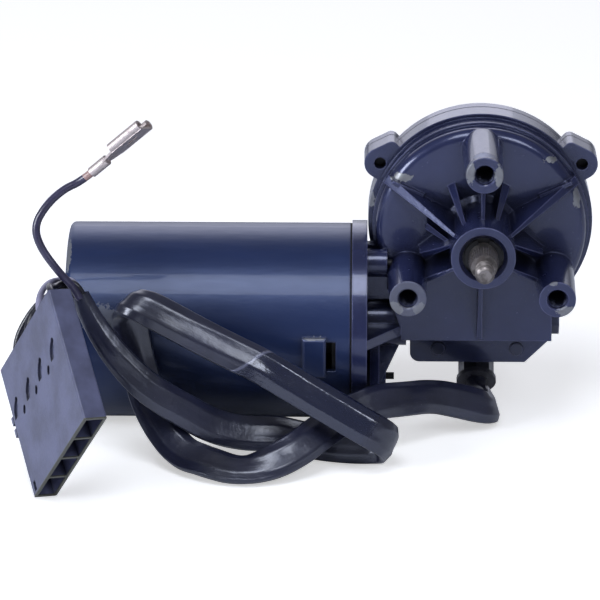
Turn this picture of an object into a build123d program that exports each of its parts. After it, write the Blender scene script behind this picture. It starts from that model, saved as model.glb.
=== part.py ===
"""Wiper motor: a permanent-magnet motor that turns a threaded output shaft through a worm and wheel.

Frame, in millimetres: the origin lies on the output shaft's axis, in the plane of the three post ends.
The output shaft points along -Y, the motor lies along -X and +Z is up.
"""

import os
from math import atan2, cos, degrees, pi, radians, sin, tan

from build123d import *

os.makedirs("parts", exist_ok=True)

# Fits
RUNNING = 0.05  # radial clearance of a turning shaft in its bush
SEAT_GAP = 0.1  # clearance round a piece that is glued or clipped in place
SCREW_GAP = 0.1  # radial clearance of a screw in its hole

# Mounting posts and bearing neck, which end in the plane y = 0
POST_CIRCLE = 60.0
POST_ANGLES = (90.0, 210.0, 330.0)
POST_R = 6.45
POST_DRAFT = 1.5
POST_BORE_R = 3.4
POST_BORE_DEEP = 20.0
POST_MOUTH = 0.45
NECK_R = 11.25
NECK_DRAFT = 1.0
NECK_BORE_R = 7.2
NECK_MOUTH = 1.3
NECK_RECESS = 3.4

# Gear cup: y is measured back from the post ends
FACE_Y = 30.0
FACE_THICK = 3.0
SHOULDER_STEP = 1.2
SHOULDER_LONG = 6.0
SHOULDER_R = 3.6
NECK_FLARE = 1.8
CUP_WALL = 3.2
FLANGE_Y = 41.5
FLANGE_OVER = 1.5
JOINT_Y = 50.0
RIB_THICK = 1.2
RIB_DRAFT = 2.5
FACE_RIBS = (  # each rib's inner and outer (x, z), and how far its crest stands over the face at both
    ((9.5, 5.2), (33.6, 18.6), 22, -2),
    ((-9.5, 5.2), (-33.6, 18.6), 22, -2),
    ((20.5, 13.4), (31.5, 18.8), 1.5, 2.5),
    ((-20.5, 13.4), (-31.5, 18.8), 1.5, 2.5),
    ((4.3, 8.8), (8.7, 17.5), 22, 0),
    ((-6.3, 8.6), (-10.8, 17.5), 22, 0),
    ((10.5, 2.0), (20.9, -6.5), 22, 8),
    ((-10.5, 2.0), (-20.9, -6.5), 22, 8),
    ((8.5, -6.5), (21.5, -14.0), 21, 15),
    ((-8.5, -6.5), (-21.5, -14.0), 21, 15),
    ((0, 10), (0, 25), 22, 18),
    ((-10.5, 1.0), (-19.5, 3.8), 18, 6),
    ((0, -10.5), (0, -40.2), 10, 1),
)

# Worm and wheel: their sizes set the distance between the two axes
MODULE = 1.0
WHEEL_TEETH = 67
WORM_PITCH_R = 4.0
PRESSURE_ANGLE = 20.0
ADDENDUM = 0.9
DEDENDUM = 1.15
FLANK_GAP = 0.2
WHEEL_WIDE = 8.0
WORM_LONG = 29.0
WORM_SHOULDER = 2.0
GEAR_Y = 41.0
WHEEL_PITCH_R = MODULE * WHEEL_TEETH / 2
AXIS_GAP = WHEEL_PITCH_R + WORM_PITCH_R
WORM_LEAD = pi * MODULE
CAVITY_GAP = 0.8
CAVITY_R = WHEEL_PITCH_R + ADDENDUM + CAVITY_GAP
CUP_R = CAVITY_R + CUP_WALL
FLANGE_R = CUP_R + FLANGE_OVER
MOTOR_Z = -AXIS_GAP
BOX_ROUND = 2.5

# Worm box under the cup
BOX_LEFT = -28.0
BOX_SHOULDER = -33.0
BOX_SHOULDER_Z = MOTOR_Z + 15.5
BOX_ELBOW_Z = MOTOR_Z + 0.3
BOX_RIGHT = 25.8
BOX_FRONT_Z = MOTOR_Z - 3.7
BOX_WALL = 2.3
TUNNEL_GAP = 0.5
SHAFT_R = 5.0
TUNNEL_R = max(WORM_PITCH_R + ADDENDUM, SHAFT_R) + TUNNEL_GAP
BOX_BOTTOM_Z = MOTOR_Z - WORM_PITCH_R - ADDENDUM - TUNNEL_GAP - BOX_WALL

# Screw lugs of the flange: angles are taken from +X towards +Z
LUG_CIRCLE_R = FLANGE_R + 1.8
LUG_ANGLES = (30.9, 149.1)
LUG_R = 5.6
LUG_TOE_R = 2.4
LUG_TOE_TURN = (9.5, -9.5)
LUG_BORE_R = 2.1

# Motor can and the ring flange that carries it
CAN_R = 35.0
CAN_WALL = 2.5
CAN_LEFT = -146.5
CAN_RIGHT = -46.1
CAN_ROUND = 2.0
CAP_R = 10.0
CAP_LONG = 5.0
CAP_WALL = 1.6
GASKET_THICK = 0.6
RING_R = CAN_R + 1.0
RING_THICK = 5.4
SPIGOT_LONG = 5.0
SPIGOT_WALL = 3.0
GUSSET_THICK = 3.6
GUSSET_TOP_Z = MOTOR_Z + 29.5
GUSSET_FRONT_Y = 14.0
GUSSET_BACK_Y = 68.0
STRUT_X = -37.3
STRUT_WIDE = 3.4
STRUT_Y = 25.0
STRUT_TOP_Z = MOTOR_Z + 1.5
STRUT_FOOT_Z = MOTOR_Z - 26.5
PAD_X = -58.7
PAD_Z = MOTOR_Z - 1.5
PAD_WIDE = 8.4
PAD_HIGH = 14.6
PAD_RISE = 2.0
PAD_EDGE = 0.7
SLOT_WIDE = 3.4
SLOT_HIGH = 11.0

CAN_BORE_R = CAN_R - CAN_WALL
CAP_LEFT = CAN_LEFT - CAP_LONG
CAP_BORE_R = CAP_R - CAP_WALL
RING_LEFT = CAN_RIGHT + GASKET_THICK
RING_RIGHT = RING_LEFT + RING_THICK
SPIGOT_R = CAN_BORE_R - SEAT_GAP
SPIGOT_LEFT = RING_LEFT - SPIGOT_LONG

# Through bolts that hold the can, at angles taken from +Y towards +Z
BOLT_CIRCLE_R = CAN_R - 6.0
BOLT_ANGLES = (-64.0, 116.0)
BOLT_R = 2.0
BOLT_HEAD_R = 3.6
BOLT_HEAD_THICK = 2.0
BOLT_NOSE_R = 1.3
BOLT_NOSE_LONG = 3.0
BOSS_R = 5.0
BOSS_LONG = 7.0

# Armature, magnets and brush gear
JOURNAL_R = 4.0
MAGNET_LEFT = -138.0
MAGNET_LONG = 62.0
MAGNET_THICK = 8.0
MAGNET_ARC = 100.0
MAGNET_ANGLES = (26.0, 206.0)
AIR_GAP = 0.8
CORE_LEFT = -130.0
CORE_LONG = 46.0
CORE_SLOTS = 10
CORE_SLOT_ARC = 22.0
CORE_HUB_R = 11.0
CORE_RIM = 2.6
SLOT_MOUTH = 2.0
COIL_GAP = 0.3
COIL_END = 7.0
COMMUTATOR_LEFT = -67.0
COMMUTATOR_LONG = 14.0
COMMUTATOR_R = 11.0
COMMUTATOR_BARS = 20
BAR_GAP = 0.7
BAR_DEEP = 0.8
BRUSH_ANGLES = (0.0, 180.0, 232.0)
BRUSH_WIDE = 5.0
BRUSH_LONG = 9.0
BRUSH_DEEP = 7.0
HOLDER_WALL = 1.2
HOLDER_R = 25.0
PLATE_THICK = 2.0
SPRING_R = 1.7
SPRING_WIRE_R = 0.35
SPRING_TURNS = 3
BUSH_WALL = 2.5
BUSH_LONG = 7.0
TAIL_R = 3.0
TAIL_LONG = 6.0
TAIL_BUSH_R = 5.0
END_GAP = 0.1
THRUST_SCREW_R = 2.5
THRUST_SCREW_LONG = 6.4
THRUST_SLOT = 1.0
THRUST_NUT_FLAT = 8.0
THRUST_NUT_THICK = 3.0

MAGNET_BORE_R = CAN_BORE_R - SEAT_GAP - MAGNET_THICK
CORE_R = MAGNET_BORE_R - AIR_GAP
WORM_CORE_R = WORM_PITCH_R - DEDENDUM
THREAD_ROOT = 0.2
BOLT_TAPER = degrees(atan2(BOLT_HEAD_R - BOLT_R, BOLT_HEAD_THICK))
WORM_END = WORM_LONG / 2 + WORM_SHOULDER
BEARING_TUBE_R = JOINT_Y - GEAR_Y - SEAT_GAP
BUSH_BORE_R = SHAFT_R + RUNNING
FRONT_BUSH_R = SHAFT_R + BUSH_WALL

# Output shaft: y falls towards the shaft's free end
OUTPUT_R = 5.0
SHAFT_BACK_Y = 48.0
SHAFT_BUSH_LONG = 11.0
NECK_INSIDE = 2.0
SEAL_THICK = 1.6
WASHER_THICK = 1.0
WASHER_R = 6.9
CLIP_Y = 1.5
CLIP_THICK = 0.9
CLIP_R = 6.5
CLIP_ARC = 320.0
GROOVE_DEEP = 0.6
CONE_Y = -2.3
CONE_LONG = 7.5
CONE_BASE_R = 5.35
CONE_NOSE_R = 4.65
KNURLS = 36
KNURL_DEEP = 0.35
STUD_R = 3.0
STUD_END_Y = -18.7
STUD_POINT = 0.8
UNDERCUT_R = 2.4
UNDERCUT_LONG = 1.0
HUB_R = 11.0
HUB_BACK_Y = 47.5
WHEEL_WEB = 4.0
WHEEL_RIM = 4.0
WHEEL_RIBS = 6
WHEEL_RIB_THICK = 2.0

NECK_BACK_Y = FACE_Y + FACE_THICK + NECK_INSIDE
HUB_FRONT_Y = NECK_BACK_Y + WASHER_THICK + END_GAP
SHAFT_BORE_R = OUTPUT_R + RUNNING
NOSE_Y = CONE_Y - CONE_LONG

# Back cover with its tab, the park switch inside it and the terminal box behind it
SHEET_THICK = 0.5
COVER_THICK = 4.5
COVER_DISH = 2.5
COVER_DISH_R = WHEEL_PITCH_R - 0.5
COVER_WINDOW_WIDE = 10.0
COVER_WINDOW_HIGH = 4.5
COVER_WINDOW_Z = MOTOR_Z + 8.1
TAB_LEFT = -24.4
TAB_RIGHT = 25.8
TAB_BOTTOM = MOTOR_Z - 19.3
TAB_TOP = MOTOR_Z + 7.5
TAB_CUT = 8.5
TAB_ROUND = 3.5
SCREW_R = 2.0
SCREW_SHORT = 4.5
SCREW_HEAD_R = 3.5
SCREW_HEAD = 2.4
RIVET_X = 14.2
RIVET_Z = MOTOR_Z - 14.2
RIVET_R = 2.0
RIVET_HEAD_R = 2.4
RIVET_HEAD = 0.7
BOX_FLANGE_WIDE = 37.0
BOX_FLANGE_THICK = 2.5
BOX_FLANGE_TOP = MOTOR_Z + 13.5
BOX_BODY_WIDE = 22.0
BOX_BODY_DEEP = 13.0
BOX_FOOT_Z = MOTOR_Z - 17.5
BOX_BODY_WALL = 2.0
DISC_R = WHEEL_PITCH_R - 13.5
DISC_THICK = 0.8
DISC_NOTCH_ARC = 40.0
DISC_NOTCH_R = 15.0
BOARD_WIDE = 24.0
BOARD_TOP_Z = MOTOR_Z + 32.5
BOARD_FOOT_Z = MOTOR_Z + 11.5
BOARD_THICK = 1.6
CONTACT_XS = (-6.0, 0.0, 6.0)
CONTACT_WIDE = 3.0
CONTACT_THICK = 0.4
CONTACT_FOOT_Z = MOTOR_Z + 13.5
CONTACT_TIP_Z = MOTOR_Z + 22.5

COVER_Y = JOINT_Y + SHEET_THICK
COVER_BACK_Y = COVER_Y + COVER_THICK
FLANGE_BACK_Y = COVER_BACK_Y + BOX_FLANGE_THICK
BOX_BACK_Y = COVER_BACK_Y + BOX_BODY_DEEP
WEB_BACK_Y = GEAR_Y + WHEEL_WEB / 2
DISC_BACK_Y = WEB_BACK_Y + DISC_THICK
BOARD_Y = COVER_Y + COVER_DISH - BOARD_THICK

# Cable boot: an elbow out of the terminal box's underside
BOOT_R = 6.5
BOOT_BEND = 9.0
BOOT_LIP_R = 7.2
BOOT_LIP = 1.8
BOOT_NECK_R = 4.0
BOOT_NECK = 3.0
BOOT_ROUTE = ((0.0, 61.7, BOX_FOOT_Z), (0.0, 61.7, -61.5), (0.0, 54.93, -66.24))

# Cable harness: the route runs from the boot, over and under itself, to the sleeve's open end
SLEEVE_R = 3.6
CORD_SIDES = 8
SLEEVE_ROUTE = (
    BOOT_ROUTE[-1],
    (0.0, 49.85, -69.797),
    (3.5, 35.5, -69.6),
    (-6.9, 29.5, -64.1),
    (-16.7, 25.5, -60.3),
    (-26.4, 17.5, -58.5),
    (-36.1, 7.5, -55.8),
    (-45.9, 2.0, -58.3),
    (-55.3, -8.0, -60.9),
    (-63.8, -21.0, -62.9),
    (-76.0, -30.0, -65.0),
    (-89.8, -31.0, -68.8),
    (-102.7, -20.0, -68.8),
    (-113.8, -1.0, -62.5),
    (-120.0, 1.6, -48.1),
    (-125.1, 1.4, -33.1),
    (-127.2, 0.5, -17.3),
    (-114.8, -1.5, -12.8),
    (-96.4, -4.5, -28.9),
    (-80.0, -7.5, -37.0),
    (-63.3, -12.0, -44.9),
    (-48.6, -17.0, -51.4),
    (-35.4, -18.0, -55.6),
    (-33.0, -17.4, -63.3),
    (-37.8, -15.8, -69.8),
    (-49.3, -13.8, -69.7),
    (-59.8, -10.3, -69.8),
    (-69.7, -3.2, -69.3),
    (-84.4, -5.5, -62.8),
    (-100.0, -8.5, -56.9),
    (-115.5, -10.0, -46.7),
    (-127.2, -9.5, -35.1),
    (-133.6, -7.6, -24.0),
    (-138.6, -7.0, -13.5),
)
LEAD_R = 1.1
LEAD_TAIL = 6.5
LEAD_ROUTES = (
    ((-136.7, -7.7, -12.5), (-138.6, -7.5, -8.5), (-143.5, -6.3, -7.6), (-148.5, -12.5, -6.6)),
    ((-137.4, -5.2, -13.0), (-139.3, -4.9, -9.0), (-144.0, -3.6, -7.4), (-150.8, -8.0, -5.8)),
    ((-140.5, -7.7, -14.3), (-142.5, -7.5, -10.3), (-145.6, -6.4, -10.0), (-152.3, -8.8, -12.6)),
    ((-139.8, -5.2, -14.1), (-141.7, -5.0, -10.1), (-145.6, -3.6, -10.6), (-155.5, -2.6, -16.5)),
)
WIRE_R = 1.2
WIRE_ROUTE = (
    (-138.6, -9.2, -13.3),
    (-140.8, -9.0, -8.9),
    (-145.9, -11.0, -3.5),
    (-152.7, -9.0, 5.6),
    (-154.8, -7.0, 13.3),
    (-150.5, -5.0, 20.4),
    (-144.5, -3.0, 25.5),
    (-139.1, -1.8, 27.6),
    (-134.8, -3.0, 31.5),
)

# Plug: x runs towards its open mouth, y along the row of circuits and z towards its back
PLUG_CENTRE = (-147.0, -39.1, -36.1)
PLUG_LONG_WAY = (0.28, -0.695, -0.662)
PLUG_BACK_WAY = (0.887, 0.451, -0.098)
PLUG_LONG = 50.0
PLUG_WIDE = 55.0
PLUG_THICK = 8.3
PLUG_EDGE = 0.6
CIRCUITS = 4
CIRCUIT_WALL = 1.1
CIRCUIT_DEEP = 26.0
CLIP_SLOT_X = -7.0
CLIP_SLOT_SHIFT = 3.0
CLIP_SLOT_BEND = 4.5
CLIP_SLOT_WIDE = 3.4
CLIP_SLOT_ARC = 75.0
MARK_TURN = 37.0
HOOK_BACK = 2.6
HOOK_SHIFT = 2.4
HOOK_R = 1.2
EYE_LONG = 3.2
EYE_WIDE = 2.0
EYE_X = -3.4
EYE_SHIFT = 6.5
MARK_DEEP = 0.9
CORNER_SLIT_X = 22.2
CORNER_SLIT_LONG = 3.6
CORNER_SLIT_WIDE = 2.0
CORNER_SLIT_EDGE = 2.2
LATCH_XS = (-5.2, -0.6)
LATCH_LONG = 3.0
LATCH_RISE = 1.5
LATCH_THICK = 2.4
TERMINAL_BACK = 10.0
TERMINAL_LONG = 12.0
TERMINAL_WIDE = 7.0
TERMINAL_HIGH = 3.0
TERMINAL_WALL = 0.6
TERMINAL_MOUTH = 2.0

# Earth terminal: x runs from its crimp to its mouth and z towards its rolled side
EARTH_LONG_WAY = (0.72, -0.20, 0.66)
EARTH_WIDE_WAY = (0.45, 0.85, -0.23)
CRIMP_LONG = 7.5
CRIMP_R = 1.9
EARTH_NECK = 5.0
EARTH_LONG = 14.0
EARTH_WIDE = 8.0
EARTH_PLATE = 0.8
CURL_R = 1.8
CURL_ARC = 290.0
DIMPLE_LONG = 4.5
DIMPLE_WIDE = 1.3

SHAFT_AXIS = Axis((0, 0, 0), (0, 1, 0))
MOTOR_AXIS = Axis((0, GEAR_Y, MOTOR_Z), (1, 0, 0))


def facing(y):
    """The plane square to the output shaft at y: X to the right, Z up, its normal towards the shaft's end."""
    return Plane(origin=(0, y, 0), x_dir=(1, 0, 0), z_dir=(0, -1, 0))


def across(x, angle=0):
    """The plane square to the motor shaft at x, its own x at an angle taken from +Y towards +Z."""
    return Plane(
        origin=(x, GEAR_Y, MOTOR_Z), x_dir=(0, cos(radians(angle)), sin(radians(angle))), z_dir=(1, 0, 0)
    )


def along_motor():
    """The plane through the motor shaft's axis: X to the right and the height over the axis upwards."""
    return Plane(origin=(0, GEAR_Y, MOTOR_Z), x_dir=(1, 0, 0), z_dir=(0, -1, 0))


def polar(radius, angle):
    """A point of a plane at a radius and an angle in degrees."""
    return (radius * cos(radians(angle)), radius * sin(radians(angle)))


def turned(*outline, axis=SHAFT_AXIS, plane=Plane.XY):
    """Add the solid of revolution of an outline of (radius, y) or (x, radius) points."""
    with BuildSketch(plane) as profile:
        with BuildLine():
            Polyline(*outline, close=True)
        make_face()
    revolve(profile.sketch, axis=axis)


def web(inner, outer, inner_high, outer_high):
    """Add a drafted rib to the face between two (x, z) points, its crest at two heights over the face."""
    foot_y = FACE_Y + FACE_THICK
    along = Vector(outer[0] - inner[0], 0, outer[1] - inner[1])
    way = along.normalized()
    high = FACE_THICK + max(inner_high, outer_high)
    foot = RIB_THICK + 2 * high * tan(radians(RIB_DRAFT))
    with BuildSketch(
        Plane(origin=(inner[0], foot_y, inner[1]), x_dir=Vector(0, -1, 0).cross(way), z_dir=way)
    ) as section:
        with BuildLine():
            Polyline(
                (-foot / 2, 0), (foot / 2, 0), (RIB_THICK / 2, high), (-RIB_THICK / 2, high), close=True
            )
        make_face()
    with BuildSketch(
        Plane(origin=(inner[0], foot_y, inner[1]), x_dir=way, z_dir=way.cross(Vector(0, 1, 0)))
    ) as side:
        with BuildLine():
            Polyline(
                (0, 0),
                (along.length, 0),
                (along.length, -FACE_THICK - outer_high),
                (0, -FACE_THICK - inner_high),
                close=True,
            )
        make_face()
    bar = extrude(section.sketch, amount=along.length, mode=Mode.PRIVATE)
    add(bar & extrude(side.sketch, amount=foot, both=True, mode=Mode.PRIVATE))


def ring(plane, outer, inner, long):
    """Add a ring that stands on a plane."""
    with BuildSketch(plane) as section:
        Circle(outer)
        Circle(inner, mode=Mode.SUBTRACT)
    extrude(section.sketch, amount=long)


def rods(plane, radius, long, points=((0, 0),)):
    """Add round rods that stand on a plane, at points of that plane."""
    with BuildSketch(plane) as section:
        with Locations(*points):
            Circle(radius)
    extrude(section.sketch, amount=long)


def bore(plane, radius, long, points=((0, 0),)):
    """Cut round holes into the part from a plane, at points of that plane."""
    with BuildSketch(plane) as section:
        with Locations(*points):
            Circle(radius)
    extrude(section.sketch, amount=long, mode=Mode.SUBTRACT)


def sector(inner, outer, middle, arc):
    """Sketch a ring sector round the plane's origin, its middle at an angle in degrees."""
    with BuildSketch(mode=Mode.PRIVATE) as piece:
        with BuildLine():
            rim = CenterArc((0, 0), outer, middle - arc / 2, arc)
            heel = CenterArc((0, 0), inner, middle - arc / 2, arc)
            Line(rim @ 0, heel @ 0)
            Line(rim @ 1, heel @ 1)
        make_face()
    return piece.sketch


def lug_outline(angle, toe_turn):
    """Sketch one screw lug of the flange, from its screw to a small toe beside it and back to the flange."""
    with BuildSketch(mode=Mode.PRIVATE) as lug:
        with Locations(polar(LUG_CIRCLE_R, angle)):
            Circle(LUG_R)
        with Locations(polar(LUG_CIRCLE_R, angle + toe_turn)):
            Circle(LUG_TOE_R)
        with Locations(polar(FLANGE_R - 2 * LUG_R, angle)):
            Circle(LUG_R)
        make_hull()
    return lug.sketch


def flange_outline():
    """Sketch the flange's round outline with its two screw lugs."""
    with BuildSketch(mode=Mode.PRIVATE) as outline:
        Circle(FLANGE_R)
        for angle, toe_turn in zip(LUG_ANGLES, LUG_TOE_TURN):
            add(lug_outline(angle, toe_turn))
    return outline.sketch


def box_outline():
    """Sketch the worm box's outline."""
    with BuildSketch(mode=Mode.PRIVATE) as outline:
        with BuildLine():
            Polyline(
                (BOX_SHOULDER, BOX_SHOULDER_Z),
                (BOX_LEFT, BOX_ELBOW_Z),
                (BOX_LEFT, BOX_BOTTOM_Z),
                (BOX_RIGHT, BOX_BOTTOM_Z),
                (BOX_RIGHT, BOX_SHOULDER_Z),
                close=True,
            )
        make_face()
        fillet(outline.vertices().sort_by(Axis.Y)[:2].sort_by(Axis.X)[-1:], BOX_ROUND)
    return outline.sketch


def half_tooth(height):
    """Half the thickness of a tooth or thread at a height over the pitch line."""
    return pi * MODULE / 4 - FLANK_GAP / 2 - height * tan(radians(PRESSURE_ANGLE))


def tooth_outline(plane, turn):
    """Sketch the wheel's toothed outline on a plane, turned about the shaft by an angle in degrees."""
    tip, root = WHEEL_PITCH_R + ADDENDUM, WHEEL_PITCH_R - DEDENDUM
    points = []
    for tooth in range(WHEEL_TEETH):
        middle = turn - 90 + tooth * 360 / WHEEL_TEETH
        for radius, side in ((root, -1), (tip, -1), (tip, 1), (root, 1)):
            half_angle = degrees(half_tooth(radius - WHEEL_PITCH_R) / radius)
            points.append(polar(radius, middle + side * half_angle))
    with BuildSketch(plane) as outline:
        with BuildLine():
            Polyline(*points, close=True)
        make_face()
    return outline.sketch


def knurl_outline(plane, radius):
    """Sketch the knurled cone's star on a plane."""
    corners = range(2 * KNURLS)
    points = [polar(radius - KNURL_DEEP * (corner % 2), corner * 180 / KNURLS) for corner in corners]
    with BuildSketch(plane) as outline:
        with BuildLine():
            Polyline(*points, close=True)
        make_face()
    return outline.sketch


def corner_radii(route):
    """The arc radius at each corner of a cord's route: 0.45 of its shorter run goes into the arc."""
    corners = [Vector(*point) for point in route]
    radii = []
    for before, here, after in zip(corners, corners[1:], corners[2:]):
        turn = radians((here - before).get_angle(after - here))
        shorter = min((here - before).length, (after - here).length)
        radii.append(0.45 * shorter / tan(turn / 2))
    return radii


def tube(route, radius, radii=None):
    """Add a plain many-sided cord along a route of straight runs and tangent arcs, and return its length."""
    with BuildLine():
        path = FilletPolyline(*route, radius=radii or corner_radii(route))
    with BuildSketch(Plane(origin=path @ 0, z_dir=path % 0)) as section:
        RegularPolygon(radius, CORD_SIDES)
    sweep(section.sketch, path=path)
    return path.length


def helix(plane, pitch, long, radius):
    """A helix that starts on a plane's own x and climbs along its normal."""
    return plane.location * Edge.make_helix(pitch, long, radius)


def report_cord(name, part, route, radius, long):
    """Print a cord's length, its arc radii and how its volume compares with section times length."""
    radii = ", ".join(f"{value:.0f}" for value in corner_radii(route))
    section = CORD_SIDES / 2 * radius**2 * sin(2 * pi / CORD_SIDES)
    print(f"{name}: {long:.0f} mm, volume ratio {part.volume / (section * long):.4f}, radii {radii}")


bolt_points = [polar(BOLT_CIRCLE_R, angle) for angle in BOLT_ANGLES]
lug_points = [polar(LUG_CIRCLE_R, angle) for angle in LUG_ANGLES]
rivet_points = [(-RIVET_X, RIVET_Z), (RIVET_X, RIVET_Z)]

# --- Gear housing: posts, neck, ribs, cup, worm box and motor ring in one casting ---

with BuildPart() as gear_housing:
    turned(
        (0, FACE_Y),
        (CUP_R - SHOULDER_STEP, FACE_Y),
        (CUP_R - SHOULDER_STEP, FACE_Y + SHOULDER_LONG),
        (CUP_R, FACE_Y + SHOULDER_LONG),
        (CUP_R, FLANGE_Y),
        (FLANGE_R, FLANGE_Y),
        (FLANGE_R, JOINT_Y),
        (0, JOINT_Y),
    )
    fillet(gear_housing.edges().filter_by_position(Axis.Y, FACE_Y - 0.01, FACE_Y + 0.01), SHOULDER_R)
    with BuildSketch(facing(JOINT_Y)):
        add(flange_outline())
    extrude(amount=JOINT_Y - FLANGE_Y)
    # Worm box, flush with the cup's face, its underside drafted down to the tunnel
    with BuildSketch(facing(JOINT_Y)):
        add(box_outline())
    extrude(amount=JOINT_Y - FACE_Y)
    with BuildSketch(Plane.YZ):
        with BuildLine():
            Polyline(
                (FACE_Y, BOX_FRONT_Z), (GEAR_Y, BOX_BOTTOM_Z), (FACE_Y, BOX_BOTTOM_Z), close=True
            )
        make_face()
    extrude(amount=2 * BOX_RIGHT, both=True, mode=Mode.SUBTRACT)
    # Motor ring with its spigot, bearing tube, gussets, front strut and bolt bosses
    ring(across(RING_LEFT), RING_R, TUNNEL_R, RING_THICK)
    ring(across(SPIGOT_LEFT), SPIGOT_R, SPIGOT_R - SPIGOT_WALL, SPIGOT_LONG)
    ring(across(RING_LEFT), BEARING_TUBE_R, TUNNEL_R, BOX_LEFT - RING_LEFT + 2)
    with BuildSketch(Plane.XZ.offset(-GEAR_Y)):
        with BuildLine():
            Polyline(
                (RING_RIGHT, MOTOR_Z - RING_R + 1),
                (BOX_LEFT, BOX_BOTTOM_Z),
                (BOX_LEFT, GUSSET_TOP_Z),
                (RING_RIGHT, GUSSET_TOP_Z),
                close=True,
            )
        make_face()
    extrude(amount=GUSSET_THICK / 2, both=True)
    with BuildSketch(Plane.XY.offset(MOTOR_Z)):
        with BuildLine():
            Polyline(
                (RING_RIGHT, GUSSET_FRONT_Y),
                (BOX_LEFT, FACE_Y),
                (BOX_LEFT, JOINT_Y),
                (BOX_SHOULDER, JOINT_Y),
                (RING_RIGHT, GUSSET_BACK_Y),
                close=True,
            )
        make_face()
    extrude(amount=GUSSET_THICK / 2, both=True)
    with BuildSketch(Plane.YZ.offset(STRUT_X - STRUT_WIDE / 2)):
        with BuildLine():
            Polyline(
                (STRUT_Y, STRUT_TOP_Z),
                (GEAR_Y, STRUT_TOP_Z),
                (GEAR_Y, STRUT_FOOT_Z),
                (STRUT_Y, STRUT_FOOT_Z),
                close=True,
            )
        make_face()
    extrude(amount=STRUT_WIDE)
    rods(across(RING_RIGHT), BOSS_R, BOSS_LONG, bolt_points)
    # Neck and posts
    with BuildSketch(facing(FACE_Y + FACE_THICK)):
        Circle(NECK_R + (FACE_Y + FACE_THICK) * tan(radians(NECK_DRAFT)))
    extrude(amount=FACE_Y + FACE_THICK, taper=NECK_DRAFT)
    with BuildSketch(facing(FACE_Y)):
        Circle(NECK_R + FACE_Y * tan(radians(NECK_DRAFT)) + NECK_FLARE)
    extrude(amount=NECK_FLARE, taper=45)
    with BuildSketch(facing(FACE_Y + SHOULDER_LONG)):
        with Locations(*[polar(POST_CIRCLE / 2, angle) for angle in POST_ANGLES]):
            Circle(POST_R + (FACE_Y + SHOULDER_LONG) * tan(radians(POST_DRAFT)))
    extrude(amount=FACE_Y + SHOULDER_LONG, taper=POST_DRAFT)
    # Cast ribs from the neck to the lugs, the posts and the worm box
    for inner, outer, inner_high, outer_high in FACE_RIBS:
        web(inner, outer, inner_high, outer_high)
    # Wheel cavity, worm tunnel and bearing seats
    bore(facing(JOINT_Y), CAVITY_R, JOINT_Y - FACE_Y - FACE_THICK)
    ring(facing(NECK_BACK_Y), NECK_R, NECK_BORE_R, NECK_INSIDE + FACE_THICK)
    bore(across(RING_LEFT), TUNNEL_R, WORM_END - RING_LEFT)
    bore(across(WORM_END), TAIL_BUSH_R, TAIL_LONG)
    bore(across(WORM_END), THRUST_SCREW_R, BOX_RIGHT)
    bore(across(RING_LEFT), FRONT_BUSH_R, BUSH_LONG)
    bore(across(SPIGOT_LEFT), BOLT_R + SCREW_GAP, SPIGOT_LONG + RING_THICK + BOSS_LONG, bolt_points)
    bore(across(RING_RIGHT + BOSS_LONG), BOLT_NOSE_R + SCREW_GAP, BOLT_NOSE_LONG + SCREW_GAP, bolt_points)
    # Bores of the neck, the posts and the lugs
    bore(facing(0), NECK_BORE_R, -JOINT_Y)
    bore(facing(0), POST_BORE_R, -POST_BORE_DEEP, [polar(POST_CIRCLE / 2, angle) for angle in POST_ANGLES])
    bore(facing(JOINT_Y), LUG_BORE_R, JOINT_Y - FLANGE_Y, lug_points)
    mouths = gear_housing.edges().filter_by(GeomType.CIRCLE).filter_by_position(Axis.Y, -0.01, 0.01)
    chamfer([edge for edge in mouths if abs(edge.radius - POST_BORE_R) < 0.01], POST_MOUTH)
    chamfer([edge for edge in mouths if abs(edge.radius - NECK_BORE_R) < 0.01], NECK_MOUTH)

# --- Motor can with its bearing cap and the two brush pads ---

with BuildPart() as motor_can:
    turned(
        (CAP_LEFT, 0),
        (CAP_LEFT, CAP_R),
        (CAN_LEFT, CAP_R),
        (CAN_LEFT, CAN_R),
        (CAN_RIGHT, CAN_R),
        (CAN_RIGHT, 0),
        axis=MOTOR_AXIS,
        plane=along_motor(),
    )
    rims = motor_can.edges().filter_by(GeomType.CIRCLE).sort_by(SortBy.RADIUS)[-2:]
    fillet(rims.sort_by(Axis.X)[0], CAN_ROUND)
    for side in (-1, 1):
        with BuildSketch(Plane.XZ.offset(-GEAR_Y)):
            with Locations((PAD_X, PAD_Z)):
                Rectangle(PAD_WIDE, PAD_HIGH)
        extrude(amount=side * (CAN_R + PAD_RISE))
        pad_faces = motor_can.faces().filter_by(Axis.Y).sort_by(Axis.Y, reverse=side < 0)
        chamfer(pad_faces[0].edges(), PAD_EDGE)
        with BuildSketch(Plane.XZ.offset(-GEAR_Y)):
            with Locations((PAD_X + (PAD_WIDE + SLOT_WIDE) / 2, PAD_Z)):
                Rectangle(SLOT_WIDE, SLOT_HIGH)
        extrude(amount=side * (CAN_R + PAD_RISE), mode=Mode.SUBTRACT)
    bore(across(CAN_LEFT + CAN_WALL), CAN_BORE_R, CAN_RIGHT - CAN_LEFT)
    bore(across(CAP_LEFT + CAP_WALL), CAP_BORE_R, CAP_LONG + CAN_WALL)
    bore(across(CAN_LEFT), BOLT_R + SCREW_GAP, CAN_WALL, bolt_points)
    for point in bolt_points:
        with BuildSketch(across(CAN_LEFT)):
            with Locations(point):
                Circle(BOLT_HEAD_R + SCREW_GAP)
        extrude(amount=BOLT_HEAD_THICK, taper=BOLT_TAPER, mode=Mode.SUBTRACT)

with BuildPart() as can_gasket:
    ring(across(CAN_RIGHT), CAN_R - END_GAP, SPIGOT_R + SEAT_GAP, GASKET_THICK)

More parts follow.
